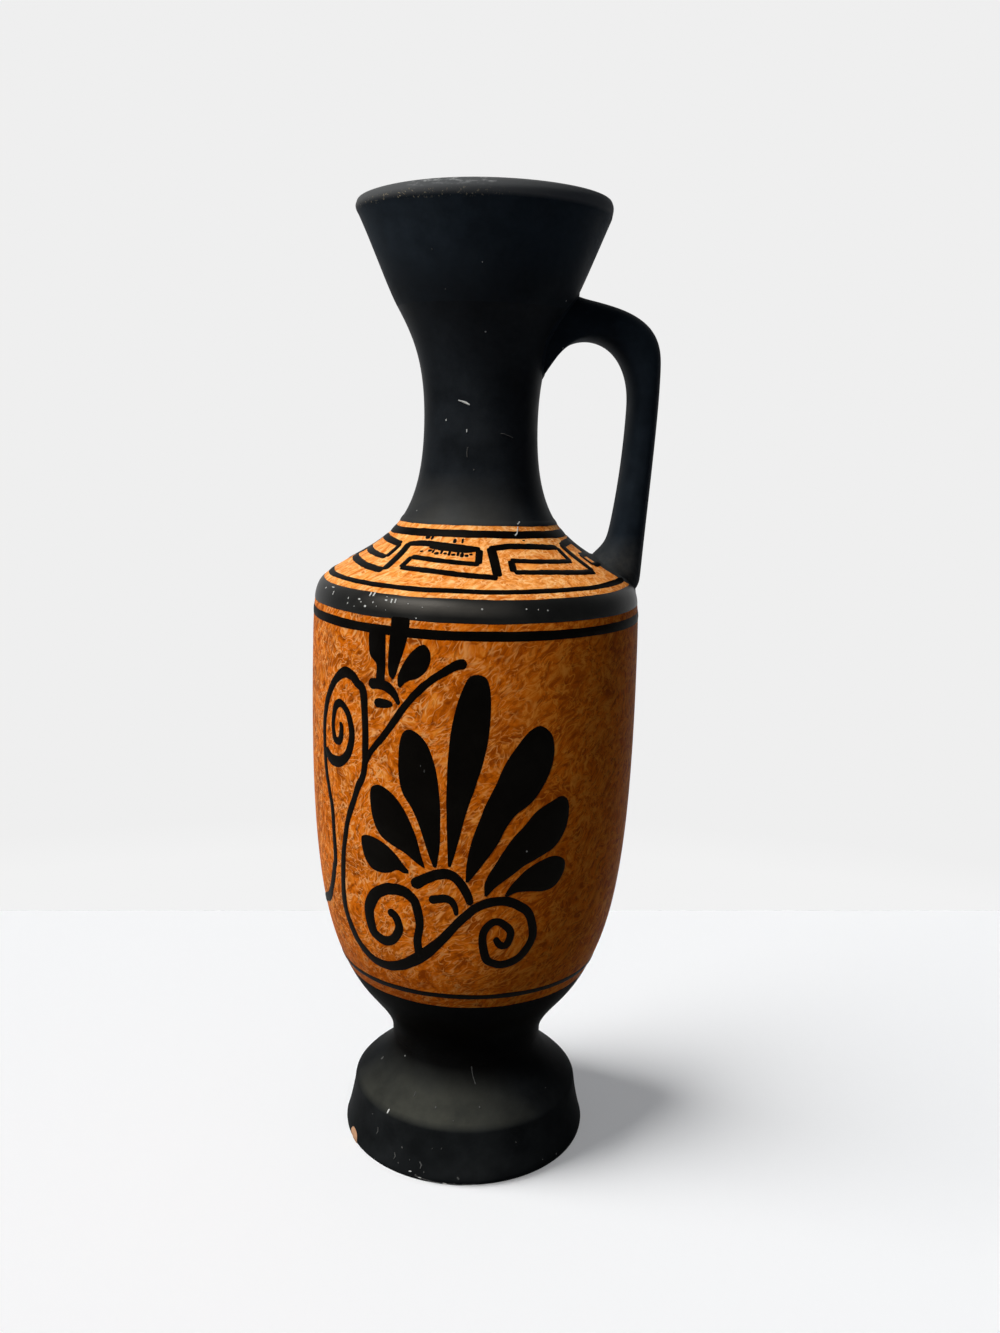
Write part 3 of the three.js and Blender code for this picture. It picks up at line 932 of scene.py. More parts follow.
def rubbed_and_painted_light(
    f, place, tone, tint, drift, share=1.0,
    rise=FROM_BASE, fall=TO_TOP, azimuth=0, reach=ALL_ROUND,
):
    """Another tone in drifts, between two heights and on the side that faces one way.

    Callers lay dusty drifts, smears and darker paint with it, and also painted highlights and
    painted shade.

    It sets in over the heights of rise and ends over those of fall. The reach is how far out
    on that side it sets in.
    """
    height = f.height(place)
    zone = f.times(f.ranged(height, *rise), f.ranged(height, *fall))
    zone = f.times(zone, f.ranged(f.towards(place, azimuth), *reach, 0.0, share))
    drifts = f.ranged(f.cloud(place, drift, detail=4.0, distort=0.2), 0.3, 0.62, 0.6, 1.0)
    return f.blended(f.times(zone, drifts), tone, tint)


# Heights between which the lip turns grey, middle and spread of its nicked edge, and its ridge
LIP_GREY = MOUTH_TOP - 4.6 * MM, MOUTH_TOP - 3.6 * MM
LIP_EDGE, EDGE_SPREAD = MOUTH_TOP - 3.9 * MM, (1.3 * MM, 0.4 * MM)
LIP_RIDGE = MOUTH_TOP - 2.6 * MM, MOUTH_TOP - 1.2 * MM
# Azimuth of the nicks and of the scratches, and how far out on that side they set in
NICKS_AT, NICKS_OUT, RUBS_AT, RUBS_OUT = -35, (0.022, 0.033), -14, (0.0316, 0.0325)


def rim_wear(f, place, tone, paint):
    """A lip rubbed grey, nicked at its lower edge and scratched on its ridge at the front left."""
    z = f.height(place)
    tone = f.blended(f.ranged(z, *LIP_GREY), tone, paint.lip_rubbed)
    edge = f.ranged(f.away(z, LIP_EDGE), *EDGE_SPREAD)
    edge = f.times(edge, f.ranged(f.towards(place, NICKS_AT), *NICKS_OUT))
    nicks = f.ranged(f.cloud(place, 0.0008, detail=4.0, rough=0.7, distort=0.6), 0.60, 0.66)
    tone = f.blended(f.times(edge, nicks), tone, paint.nick)
    ridge = f.times(f.ranged(z, *LIP_RIDGE), f.ranged(f.towards(place, RUBS_AT), *RUBS_OUT))
    along = f.scaled(place, (0.25, 0.25, 1.0))
    rubs = f.ranged(f.cloud(along, 0.0006, detail=3.0, rough=0.7), 0.5, 0.66, 0.0, 0.8)
    return f.blended(f.times(ridge, rubs), tone, paint.ridge_rubbed)


# Slope of the brush's drags in degrees, how they are drawn out, and how far they eddy
DRAG_SLOPE, DRAG_STRETCH, EDDY = -38, (2.2, 1.0, 1.0), (0.0075, 0.0075, 0.0075)
# Widths of the drags, the clouds in the wash and the hair lines, and of the gaps in the lines
DRAG_WIDTH, CLOUD_WIDTH, HAIR_WIDTH, GAP_WIDTH = 0.0016, 0.010, 0.0017, 0.0021
# Azimuth where most light falls, how far out it sets in, and heights where the shoulder does
LIT_AT, LIT_OUT, SHOULDER = -45, (0.016, 0.042), (0.1525, 0.1555)
# Azimuth of the painted shade low on the left, how far out and down it sets in, and how strong it
# is
LOW_SHADE_AT, LOW_SHADE_OUT, LOW_SHADE_DOWN, LOW_SHADE = -60, (0.012, 0.030), (0.066, 0.050), 0.5


def orange_wash(name, paint):
    """The orange ground: a thin wash dragged on in short strokes, paler on the shoulder.

    Its colour holds painted light: paler hair lines and deeper dark strokes on the lit left,
    a shoulder paler partly as painted light, and painted shade low on the left.
    """
    f = Finish(name, 0.5, 0.012, mottle_size=0.012, grain_size=0.0005)
    place = f.place()
    height = f.height(place)
    # The drags of the brush run askew, and eddy a little
    stir = f.add("TexNoise", {"Vector": place, "Scale": 85.0, "Detail": 1.0})["Color"]
    stirred = f.add("VectorMath", {0: stir, 1: EDDY, 2: place}, operation="MULTIPLY_ADD")[0]
    slope = (0, math.radians(DRAG_SLOPE), 0)
    lie = {"Vector": stirred, "Rotation": slope, "Scale": DRAG_STRETCH}
    slanted = f.add("Mapping", lie, vector_type="TEXTURE")[0]
    drags = f.cloud(slanted, DRAG_WIDTH, detail=3.0, rough=0.65, distort=0.6)
    pale = f.maths("MAXIMUM", *[hair_lines(f, slanted, shift) for shift in (0.0, 0.31)])
    deep = hair_lines(f, slanted, 0.67)
    # Each colour changes towards the left, where most light falls, as painted light: paler hair
    # lines and deeper dark strokes there. On the shoulder each turns paler, partly its own paler
    # wash and partly painted light on the top that faces the lamp
    left = f.ranged(f.towards(place, LIT_AT), *LIT_OUT)
    top = f.ranged(height, *SHOULDER)
    body = f.blended(top, paint.wash, paint.top)
    dark = f.blended(top, f.blended(left, paint.wash_dark, paint.wash_lit_side_dark), paint.top_dark)
    light = f.blended(top, paint.wash_light, paint.top_light)
    hair = f.blended(top, f.blended(left, light, paint.wash_painted_sheen), paint.top_pale)
    # Laid over one another: the wash, its dark and light drags, and its hair lines
    clouds = f.cloud(place, CLOUD_WIDTH, detail=4.0, rough=0.6)
    tone = f.blended(f.ranged(clouds, 0.36, 0.56, 0.55, 1.0), dark, body)
    tone = f.blended(f.ranged(drags, 0.50, 0.34, 0.0, 0.9), tone, dark)
    tone = f.blended(f.ranged(drags, 0.52, 0.68, 0.0, 0.9), tone, light)
    tone = f.blended(f.times(deep, 0.65), tone, dark)
    tone = f.blended(f.times(pale, 0.75), tone, hair)
    # Painted shade: the low left side, just above the black of the stem, is darkened
    low_shade = f.ranged(f.towards(place, LOW_SHADE_AT), *LOW_SHADE_OUT, 0.0, LOW_SHADE)
    low_shade = f.times(low_shade, f.ranged(height, *LOW_SHADE_DOWN))
    tone = f.blended(low_shade, tone, paint.wash_dark)
    relief = f.maths("ADD", f.marks["Height"], f.times(drags, 0.5))
    return f.laid(tone, relief, strength=0.4, depth=0.25 * MM)


def hair_lines(f, place, shift):
    """Thin hair lines of a brush: the contour of a soft noise, broken up by another."""
    step = (shift, shift / 3, shift / 7)
    moved = f.add("VectorMath", {0: place, 1: step}, operation="ADD")[0]
    field = f.cloud(moved, HAIR_WIDTH, detail=0.6, distort=0.7)
    line = f.ranged(f.away(field, 0.5), 0.05, 0.005)
    return f.times(line, f.ranged(f.cloud(moved, GAP_WIDTH, detail=1.0), 0.42, 0.58))


def bare_clay(name, paint):
    """Fired clay with fine grit."""
    f = Finish(name, 0.88, 0.25, mottle_size=0.007, grain_size=0.0007)
    low, high = ([min(part * share, 1) for part in paint.clay] for share in CLAY_SHADES)
    tone = f.blended(f.ranged(f.marks["Mottle"], *MOTTLE), low, high)
    tone = f.blended(f.ranged(f.marks["Grain"], 0.62, 0.75, 0.0, 0.5), tone, paint.grit)
    return f.laid(tone, f.marks["Height"], strength=0.5, depth=0.4 * MM)


def pale_body(name, tint):
    """The pale body that shows where the paint is nicked or scuffed."""
    f = Finish(name, 0.8, 0.1, grain_size=0.0004)
    low = [part * PALE_SHADE for part in tint]
    tone = f.blended(f.ranged(f.marks["Grain"], 0.35, 0.65), low, tint)
    return f.laid(tone, f.marks["Height"], strength=1.0, depth=0.2 * MM)


def mix_finishes():
    """All the finishes, by name."""
    p = bpy.context.scene.pitcher_paint
    dull, chalky = (0.45, 0.55), (0.60, 0.75)
    foot = [
        # Painted shade: above its slope the foot, its seam and the stem band darken, under the
        # belly
        dict(tint=p.line_black, drift=0.020, rise=(0.0190, 0.0255)),
        # Painted highlight: the slope of the foot is lighter on its front left, which faces the
        # lamp
        dict(
            tint=p.rubbed_and_painted_light, drift=0.006, rise=(0.0134, 0.0150), fall=(0.0255, 0.0190),
            azimuth=-23, reach=(0.012, 0.0275),
        ),
    ]
    # Painted highlight: a lighter stripe along the middle of the shoulder band, on its front left
    band = dict(
        tint=p.band_painted_highlight, drift=0.008, share=0.95, rise=(0.1504, 0.1520), fall=(0.1544, 0.1530),
        azimuth=-14, reach=(0.0370, 0.0425),
    )
    # Partly dusty drifts, partly painted sheen: lighter low on the neck, on its front left where
    # light falls
    neck = dict(
        tint=p.dust_and_sheen, drift=0.012, share=0.62, fall=(0.1835, 0.1755),
        azimuth=-25, reach=(0.006, 0.020),
    )
    rim = dict(tint=p.neck_black, drift=0.020, fall=(0.243, 0.230))
    # Partly smeared slip, partly painted highlight on its brush marks: lighter smudges low on the
    # handle
    root = dict(tint=p.dust_and_sheen, drift=0.0015, share=0.55, fall=(0.168, 0.160))
    return {
        "foot": black_paint("foot_paint", p.foot_black, 0.005, dull, p, patches=foot),
        "band": black_paint(
            "band_paint", p.band_black, 0.17, (0.38, 0.46), p, glint=p.band_glint, patches=[band]
        ),
        "neck": black_paint("neck_paint", p.neck_black, 0.04, (0.45, 0.60), p, patches=[neck]),
        "rim": black_paint("rim_paint", p.black, 0.06, chalky, p, patches=[rim], worn_rim=True),
        "handle": black_paint("handle_paint", p.handle_black, 0.045, chalky, p, patches=[root]),
        "line": black_paint("line_paint", p.line_black, 0.025, (0.42, 0.56), p),
        "wash": orange_wash("orange_wash", p),
        "clay": bare_clay("bare_clay", p),
        "speck": pale_body("pale_speck", p.speck),
        "scuff": pale_body("faint_scuff", p.scuff),
    }


FINISHES = {}


def material(name):
    """One of the finishes, mixed the first time that one is asked for."""
    if not FINISHES:
        FINISHES.update(mix_finishes())
    return FINISHES[name]


# The turned pieces

# How far from the front the rim dips and swells, and how much narrower the swollen lip is
RIM_TURN, RIM_NARROWING = 65, 0.01


class PITCHER_OT_foot(bpy.types.Operator):
    """Turn the foot, and the disc of slip that joins it to the body"""

    bl_idname = "pitcher.foot"
    bl_label = "Foot"

    def execute(self, context):
        line = Skin().line
        section = np.vstack([[(0, 0)], between(line, line[0, 1], FOOT_TOP), [(0, FOOT_TOP)]])
        section[1, 1] = 0
        foot = turned("foot_turned", section)
        faces = foot.data.polygons
        bare(foot, [face.normal.z < -0.99 and face.center.z < 0.1 * MM for face in faces])
        finished(foot, "dark_paint", "foot", "clay", sharp=TURNED_SHARP, stands_for=["foot"])
        stem = np.interp(FOOT_TOP, line[:, 1], line[:, 0])
        bulge = stem + 0.1 * MM, (FOOT_TOP + STEM_TOP) / 2
        section = [(0, FOOT_TOP), (stem, FOOT_TOP), bulge, (stem, STEM_TOP), (0, STEM_TOP)]
        seam = turned("foot_seam", section)
        finished(seam, "dark_paint", "foot", sharp=TURNED_SHARP, stands_for=["foot_slip"])
        return {"FINISHED"}


class PITCHER_OT_body(bpy.types.Operator):
    """Turn the body with its floor, its belly and its shoulder"""

    bl_idname = "pitcher.body"
    bl_label = "Body"

    def execute(self, context):
        sizes = context.scene.pitcher_outline
        line = Skin().line
        floor = STEM_TOP + sizes.floor
        inside = between(rising(offset(line, -sizes.wall)), floor, BODY_TOP)[::-1]
        outside = between(line, STEM_TOP, BODY_TOP)
        body = turned("body_turned", np.vstack([[(0, STEM_TOP)], outside, inside, [(0, floor)]]))
        under = STEM_TOP + 0.01 * MM
        faces = zip(inside_wall(body, line), body.data.polygons)
        bare(body, [inner or face.center.z < under for inner, face in faces])
        finished(body, "painted_ground", "wash", "clay", sharp=TURNED_SHARP, stands_for=["body"])
        return {"FINISHED"}


class PITCHER_OT_neck(bpy.types.Operator):
    """Turn the neck, and the rings of slip below and above it"""

    bl_idname = "pitcher.neck"
    bl_label = "Neck"

    def execute(self, context):
        line = Skin().line
        inside = rising(offset(line, -context.scene.pitcher_outline.wall))
        for name, low, high, slot, finish, stands_for in (
            ("neck_seam", BODY_TOP, NECK_BASE, "painted_ground", "wash", "neck_slip"),
            ("neck_turned", NECK_BASE, NECK_TOP, "dark_paint", "neck", "neck"),
            ("mouth_seam", NECK_TOP, MOUTH_BASE, "dark_paint", "neck", "mouth_slip"),
        ):
            section = np.vstack([between(line, low, high), between(inside, low, high)[::-1]])
            piece = turned(name, section)
            bare(piece, inside_wall(piece, line))
            finished(piece, slot, finish, "clay", sharp=TURNED_SHARP, stands_for=[stands_for])
        return {"FINISHED"}


class PITCHER_OT_mouth(bpy.types.Operator):
    """Turn the mouth, round its lip and let the rim dip a little as hand work does"""

    bl_idname = "pitcher.mouth"
    bl_label = "Mouth"

    def execute(self, context):
        sizes = context.scene.pitcher_outline
        line = Skin().line
        inside = rising(offset(line, -sizes.wall))
        low, funnel, ridge = line[-1, 1], line[-1, 0], MOUTH_TOP - sizes.paint
        inner = np.interp(low, inside[:, 1], inside[:, 0])
        crest = sizes.lip_radius
        full = 33.85 * MM, low + 2.9 * MM
        lip = drawn(
            (funnel, low),
            # The bulge of the lip, its outer shoulder and its fall to the inside
            ((34.0 * MM, low + 1.1 * MM), (34.35 * MM, low + 1.9 * MM), full, 6),
            ((33.6 * MM, ridge - 0.45 * MM), (32.9 * MM, ridge), (crest, ridge), 8),
            ((crest - 1.2 * MM, ridge), (inner + 0.6 * MM, ridge - 1.2 * MM), (inner, low), 8),
        )
        wall = between(line, MOUTH_BASE, low)[:-1], between(inside, MOUTH_BASE, low)[-2::-1]
        mouth = turned("mouth_turned", np.vstack([wall[0], lip, wall[1]]))
        lay(mouth, hand_made(corners(mouth), low, ridge))
        finished(mouth, "dark_paint", "rim", sharp=TURNED_SHARP, stands_for=["mouth"])
        return {"FINISHED"}


def hand_made(places, low, ridge):
    """The turned mouth as the hand left it: dipped at one side, swollen at the other, leaning."""
    sizes = bpy.context.scene.pitcher_outline
    turn = np.arctan2(places[:, 1], places[:, 0]) - math.radians(FRONT)
    share = np.clip((places[:, 2] - MOUTH_BASE) / (MOUTH_TOP - MOUTH_BASE), 0, 1) ** 3
    dip = (0.5 + 0.5 * np.cos(turn + math.radians(RIM_TURN))) ** 8
    swell = (0.5 + 0.5 * np.cos(turn - math.radians(RIM_TURN))) ** 4
    rise = np.clip((places[:, 2] - low) / (ridge - low), 0, 1)
    places[:, 2] += sizes.rim_swell * swell * 4 * rise * (1 - rise) - sizes.rim_sag * share * dip
    places[:, :2] *= 1 - RIM_NARROWING * (swell * 4 * rise * (1 - rise))[:, None]
    places[:, 0] -= sizes.rim_lean * share
    return places


# The handle

# Heights of the strap's foot on the shoulder, and from the springing to its foot on the neck
ROOT_LOW, ROOT_HIGH, NECK_FOOT = 152.4 * MM, 160.9 * MM, 7.2 * MM
# How much less far the strap's foot on the shoulder reaches to either side
ROOT_NARROWER = 0.7 * MM
# How far the strap is sunk into the clay, and how far past its ends it still stands proud
SUNK, PROUD = -1.6 * MM, 0.05 * MM
# How quickly the edge of a collar of slip changes, and what sets the two collars apart
RAGGED_PACE, RAGGED_STEP = 3, 4.1
# How far each collar of slip spreads round the strap
NECK_SPREAD, ROOT_SPREAD = 1.1 * MM, 1.0 * MM
# Corners round the strap, and sections along it
STRAP_CORNERS, STRAP_SECTIONS = 40, 32
# How far round the crown of the finger gap reaches, in degrees
CROWN_TURN = 158
# How full the strap's section is, and the crown of the finger gap at each side; 2 is round
STRAP_FULL, CROWN_FULL_OUT, CROWN_FULL_IN = 2.5, 2.15, 2.0


class PITCHER_OT_handle(bpy.types.Operator):
    """Draw the strap handle out between its two footprints, and smear slip round them"""

    bl_idname = "pitcher.handle"
    bl_label = "Handle"

    def execute(self, context):
        skin = Skin()
        s = context.scene.pitcher_handle
        grow = s.flare / 2
        neck_foot = Footprint(skin, s.springing + NECK_FOOT, s.top, s.width / 2, from_top=True)
        root_half = s.width / 2 - ROOT_NARROWER
        root_foot = Footprint(skin, ROOT_LOW, ROOT_HIGH, root_half, from_top=False)
        handle = lofted("handle_strap", [
            *[neck_foot.ring(lift, grow) for lift in (SUNK, PROUD)],
            *[strap_ring(*station) for station in strap_stations(s)],
            *[root_foot.ring(lift, grow) for lift in (PROUD, SUNK)],
        ])
        finished(handle, "dark_paint", "handle", stands_for=["handle"])
        for name, foot, spread, stands_for in (
            ("neck_collar", neck_foot, NECK_SPREAD, "handle_top_slip"),
            ("root_collar", root_foot, ROOT_SPREAD, "handle_root_slip"),
        ):
            collar = lofted(name, [
                foot.ring(-0.5 * MM, grow + spread + 0.1 * MM, ragged=spread / 6),
                foot.ring(0.03 * MM, grow + spread, ragged=spread / 6),
                foot.ring(spread / 6, grow + spread / 2, ragged=spread / 12),
                foot.ring(spread / 2, grow - 0.3 * MM),
                foot.ring(0, grow - 1.4 * MM),
            ])
            finished(collar, "dark_paint", "handle", stands_for=[stands_for])
        return {"FINISHED"}


class Footprint:
    """The oval on the clay where one end of the strap sits, on the handle's side."""

    def __init__(self, skin, low, high, half_width, from_top):
        self.skin = skin
        runs = skin.run_at(low), skin.run_at(high)
        self.middle, self.half = sum(runs) / 2, (runs[1] - runs[0]) / 2
        self.half_width = half_width
        self.sign = 1 if from_top else -1

    def ring(self, lift, grow, ragged=0.0):
        """A ring of places; the first lies under the strap's outer face."""
        turn = np.linspace(0, 2 * math.pi, STRAP_CORNERS, endpoint=False)
        pace, step = RAGGED_PACE, self.sign * RAGGED_STEP
        spots = [Vector((pace * math.cos(t), pace * math.sin(t), step)) for t in turn]
        shake = ragged * np.array([noise.noise(spot) for spot in spots])
        run = self.middle + self.sign * (self.half + grow + shake) * np.cos(turn)
        height = self.skin.height_at(run)
        radius = np.interp(height, self.skin.height, self.skin.radius)
        across = (self.half_width + grow + shake) * np.sin(turn)
        return self.skin.place(np.degrees(across / radius) - FRONT, height, lift)


def fuller(wave, full):
    """A sine or cosine that stays longer near its ends, as on an oval fuller than a circle."""
    return np.sign(wave) * np.abs(wave) ** (2 / full)


def strap_stations(s):
    """Outer place, inner place and half width of the strap, from the neck to the shoulder."""
    sizes = bpy.context.scene.pitcher_outline
    face = s.reach - s.thickness
    middle, half = (face + sizes.neck_radius) / 2, (face - sizes.neck_radius) / 2
    outer = drawn(
        (sizes.throat_radius + 4.2 * MM, s.top),
        (mm(37.1, 228.0), (s.reach, 225.6 * MM), (s.reach, s.bend_height), 16),
        (mm(47.8, 200), mm(45.5, 176), mm(44.15, 154.2), 16),
    )
    turn = np.linspace(math.radians(CROWN_TURN), 0, 20)
    full = np.where(turn < math.pi / 2, CROWN_FULL_OUT, CROWN_FULL_IN)
    height = s.springing + s.crown * np.sin(turn) ** (2 / full)
    crown = np.stack([middle + half * fuller(np.cos(turn), full), height], 1)
    inner = drawn(
        (face, s.springing),
        (mm(39.2, 192), mm(37.9, 179), mm(35.65, 167.6), 12),
        (mm(35.3, 165.8), mm(34.8, 164.6), mm(33.5, 163.4), 6),
    )
    outer, inner = evenly(outer, STRAP_SECTIONS), evenly(chain(crown, inner), STRAP_SECTIONS)
    share = np.linspace(0, 1, STRAP_SECTIONS)
    spread = s.flare * 0.5 * np.exp(-share * 14), s.flare * 0.25 * np.exp(-(1 - share) * 14)
    return list(zip(outer, inner, s.width / 2 + spread[0] + spread[1]))


def strap_ring(outer, inner, half_width):
    """One oval section of the strap, between its outer and inner place."""
    turn = np.linspace(0, 2 * math.pi, STRAP_CORNERS, endpoint=False)
    across = fuller(np.sin(turn), STRAP_FULL) * half_width
    depth = fuller(np.cos(turn), STRAP_FULL)
    side = (outer + inner) / 2 + depth[:, None] * ((outer - inner) / 2)
    return np.stack([side[:, 0], across, side[:, 1]], 1)


def lofted(name, rings):
    """A closed form through rings of places: a column extruded ring by ring, then smoothed."""
    piece = fresh(
        bpy.ops.mesh.primitive_cylinder_add, name, vertices=len(rings[0]), end_fill_type="NGON"
    )
    data = piece.data
    for vertex in data.vertices:
        vertex.select = vertex.co.z > 0
    for part in (*data.edges, *data.polygons):
        part.select = all(data.vertices[i].co.z > 0 for i in part.vertices)
    bpy.ops.object.mode_set(mode="EDIT")
    for _ in range(len(rings) - 2):
        bpy.ops.mesh.extrude_region_move(TRANSFORM_OT_translate={"value": (0, 0, 1)})
    bpy.ops.object.mode_set(mode="OBJECT")
    places = corners(piece)
    levels = np.rint(places[:, 2])
    for ring_places, level in zip(rings, sorted(set(levels))):
        chosen = np.flatnonzero(levels == level)
        turn = (np.arctan2(places[chosen, 0], places[chosen, 1]) + 0.01) % (2 * math.pi)
        places[chosen[np.argsort(turn)]] = ring_places
    lay(piece, places)
    in_edit_mode(piece, (bpy.ops.mesh.normals_make_consistent, dict(inside=False)))
    modified(piece, "SUBSURF", levels=2, render_levels=2)
    return piece


# The painting

# Bands and stripes: name, lower and upper edge, columns of the film, finish and sag
BANDS = [
    ("stem_band", STEM_TOP - 0.3 * MM, 48.9 * MM, 26, "foot", 0),
    ("low_stripe", 51.9 * MM, 53.4 * MM, 3, "line", 0.5 * MM),
    ("body_stripe", 145.05 * MM, 147.4 * MM, 3, "line", 0),
    ("shoulder_band", 149.15 * MM, 154.65 * MM, 12, "band", 0),
    ("shoulder_stripe", 155.75 * MM, 156.7 * MM, 3, "line", 0),
    ("neck_stripe", 167.6 * MM, 169.4 * MM, 3, "line", 0.7 * MM),
    ("neck_edge", 170.5 * MM, 171.8 * MM, 3, "neck", 0.7 * MM),
]
# How full the ends of the strokes in the key pattern are
KEY_FULL = 3.0
# Share of the paint's thickness by which specks and scuffs stand out of the paint
SPECK_LIFT = 0.6


class PITCHER_OT_bands(bpy.types.Operator):
    """Brush the bands and stripes that run round the vessel"""

    bl_idname = "pitcher.bands"
    bl_label = "Bands and stripes"

    def execute(self, context):
        skin = Skin()
        for name, low, high, columns, finish, sag in BANDS:
            finished(ring(name, skin, low, high, columns, sag), "dark_paint", finish)
        return {"FINISHED"}


class PITCHER_OT_keys(bpy.types.Operator):
    """Brush the key pattern round the shoulder, and the black patch under the handle"""

    bl_idname = "pitcher.keys"
    bl_label = "Key pattern"

    def execute(self, context):
        skin = Skin()
        strokes = []
        for key in range(KEYS):
            start = KEY_START + key * (360 / KEYS)
            for i, points in enumerate(KEY_STROKES):
                moved = [(start + a, h, w) for a, h, w in points]
                strokes.append(stroke("key", skin, moved, key * 10 + i, KEY_FULL))
        strokes.append(stroke("mass", skin, KEY_MASS, 9))
        strokes += [dab(skin, *spot, i) for i, spot in enumerate(KEY_DABS)]
        finished(joined("key_pattern", strokes), "dark_paint", "line")
        near = evenly(np.array(ROOT_EDGE) * (1, MM), 60)
        far = near * (-1, 1) + (2 * ROOT_MIDDLE, 0)
        patch = film("root_patch", skin, near, far, 4, columns=24)
        finished(patch, "dark_paint", "handle")
        return {"FINISHED"}


class PITCHER_OT_palmette(bpy.types.Operator):
    """Brush the palmette on the front, and its like on the side that faces away"""

    bl_idname = "pitcher.palmette"
    bl_label = "Palmettes"

    def execute(self, context):
        skin = Skin()
        for name, turn in (("front_palmette", list), ("side_palmette", mirrored)):
            strokes = [leaf(skin, turn(a), turn(b), i) for i, (a, b) in enumerate(PALMETTE)]
            strokes += [stroke("heart", skin, turn(line), 20 + i) for i, line in enumerate(HEART)]
            finished(joined(name, strokes), "dark_paint", "line")
        return {"FINISHED"}


class PITCHER_OT_scrolls(bpy.types.Operator):
    """Brush the stems, scrolls and the hanging bud"""

    bl_idname = "pitcher.scrolls"
    bl_label = "Scrolls"

    def execute(self, context):
        skin = Skin()
        for name, lines, leaves in (
            ("front_scrolls", [STEM + SCROLL, VOLUTE, SPIRAL, TENDRIL], []),
            ("side_scrolls", [SIDE_STEM + mirrored(SCROLL), mirrored(VOLUTE)], []),
            ("hanging_bud", BUD_LINES, BUD),
        ):
            strokes = [stroke(name, skin, points, i + 1) for i, points in enumerate(lines)]
            strokes += [leaf(skin, left, right, i + 5) for i, (left, right) in enumerate(leaves)]
            finished(joined(name, strokes), "dark_paint", "line")
        return {"FINISHED"}


class PITCHER_OT_wear(bpy.types.Operator):
    """Add the pale specks, the scratches, the scuffs and the chip of use"""

    bl_idname = "pitcher.wear"
    bl_label = "Wear"

    def execute(self, context):
        skin = Skin()
        paint = context.scene.pitcher_outline.paint
        specks = [dab(skin, *spot, i) for i, spot in enumerate(SPECKS)]
        specks += [stroke("scratch", skin, points, i) for i, points in enumerate(SCRATCHES)]
        specks = joined("pale_specks", specks)
        scuffs = [stroke("scuff", skin, points, i) for i, points in enumerate(SCUFFS)]
        scuffs += [dab(skin, *spot, i) for i, spot in enumerate(FAINT_SPECKS)]
        scuffs = joined("faint_scuffs", scuffs)
        chip = stroke("foot_chip", skin, CHIP, 2)
        for piece, finish in ((specks, "speck"), (scuffs, "scuff"), (chip, "clay")):
            places = corners(piece)
            lay(piece, places + unit(places * (1, 1, 0)) * SPECK_LIFT * paint)
            finished(piece, None, finish)
        return {"FINISHED"}


# The stage

# Where the backdrop stands, as parts of the way out from the middle, and where its foot ends
BACKDROP_SIDES, BACKDROP_LINE = (-0.4, -0.75), (-0.32, -0.345)


class PITCHER_OT_stage(bpy.types.Operator):
    """Set the camera, the two lamps, the pale floor and what lies beyond it"""

    bl_idname = "pitcher.stage"
    bl_label = "Stage"

    def execute(self, context):
        scene = context.scene
        s = scene.pitcher_stage
        scene.view_settings.view_transform = "Standard"
        set_camera(scene, s)
        floor = set_floor(s)
        foot = [bpy.data.objects[name] for name in ("foot_turned", "foot_seam")]
        key = set_lamp(scene, "lamp", s.sun, s.softness, s.lamp_azimuth, s.lamp_rise)
        low = set_lamp(
            scene, "floor_lamp", s.floor_sun, s.floor_softness, s.floor_azimuth, s.floor_rise
        )
        key.receiver_collection = linked("lamp_lights", "EXCLUDE", [floor])
        low.receiver_collection = linked("floor_lamp_lights", "INCLUDE", [floor])
        low.blocker_collection = linked("floor_lamp_shadows", "INCLUDE", foot)
        set_world(scene, s)
        return {"FINISHED"}


def set_camera(scene, s):
    """The camera at the painted front, a little above the shoulder."""
    data = bpy.data.cameras.new("camera")
    camera = bpy.data.objects.new("camera", data)
    scene.collection.objects.link(camera)
    data.lens, data.shift_x, data.shift_y = s.lens, s.shift_x, s.shift_y
    data.clip_start, data.clip_end = 0.01, 100
    stand = math.radians(FRONT)
    heading = s.turn - stand - math.pi / 2
    level = math.cos(s.tilt)
    ahead = Vector((math.sin(heading) * level, math.cos(heading) * level, -math.sin(s.tilt)))
    right = Vector((math.cos(heading), -math.sin(heading), 0))
    up = right.cross(ahead)
    rolled_right = math.cos(s.roll) * right + math.sin(s.roll) * up
    rolled_up = -math.sin(s.roll) * right + math.cos(s.roll) * up
    at = Vector((s.distance * math.cos(stand), s.distance * math.sin(stand), s.height))
    facing = Matrix((rolled_right, rolled_up, -ahead)).transposed().to_4x4()
    camera.matrix_world = Matrix.Translation(at) @ facing
    scene.camera = camera


def set_lamp(scene, name, strength, softness, azimuth, rise):
    """A wide soft lamp far away, and what it lights."""
    data = bpy.data.lights.new(name, "SUN")
    data.energy, data.angle = strength, softness
    lamp = bpy.data.objects.new(name, data)
    scene.collection.objects.link(lamp)
    side, rise = math.radians(azimuth + FRONT), math.radians(rise)
    out = Vector((math.cos(side) * math.cos(rise), math.sin(side) * math.cos(rise), math.sin(rise)))
    lamp.rotation_euler = out.to_track_quat("Z", "Y").to_euler()
    return lamp.light_linking


def linked(name, state, pieces):
    """A set of pieces that a lamp includes or excludes."""
    chosen = bpy.data.collections.new(name)
    for i, piece in enumerate(pieces):
        chosen.objects.link(piece)
        chosen.collection_objects[i].light_linking.link_state = state
    return chosen


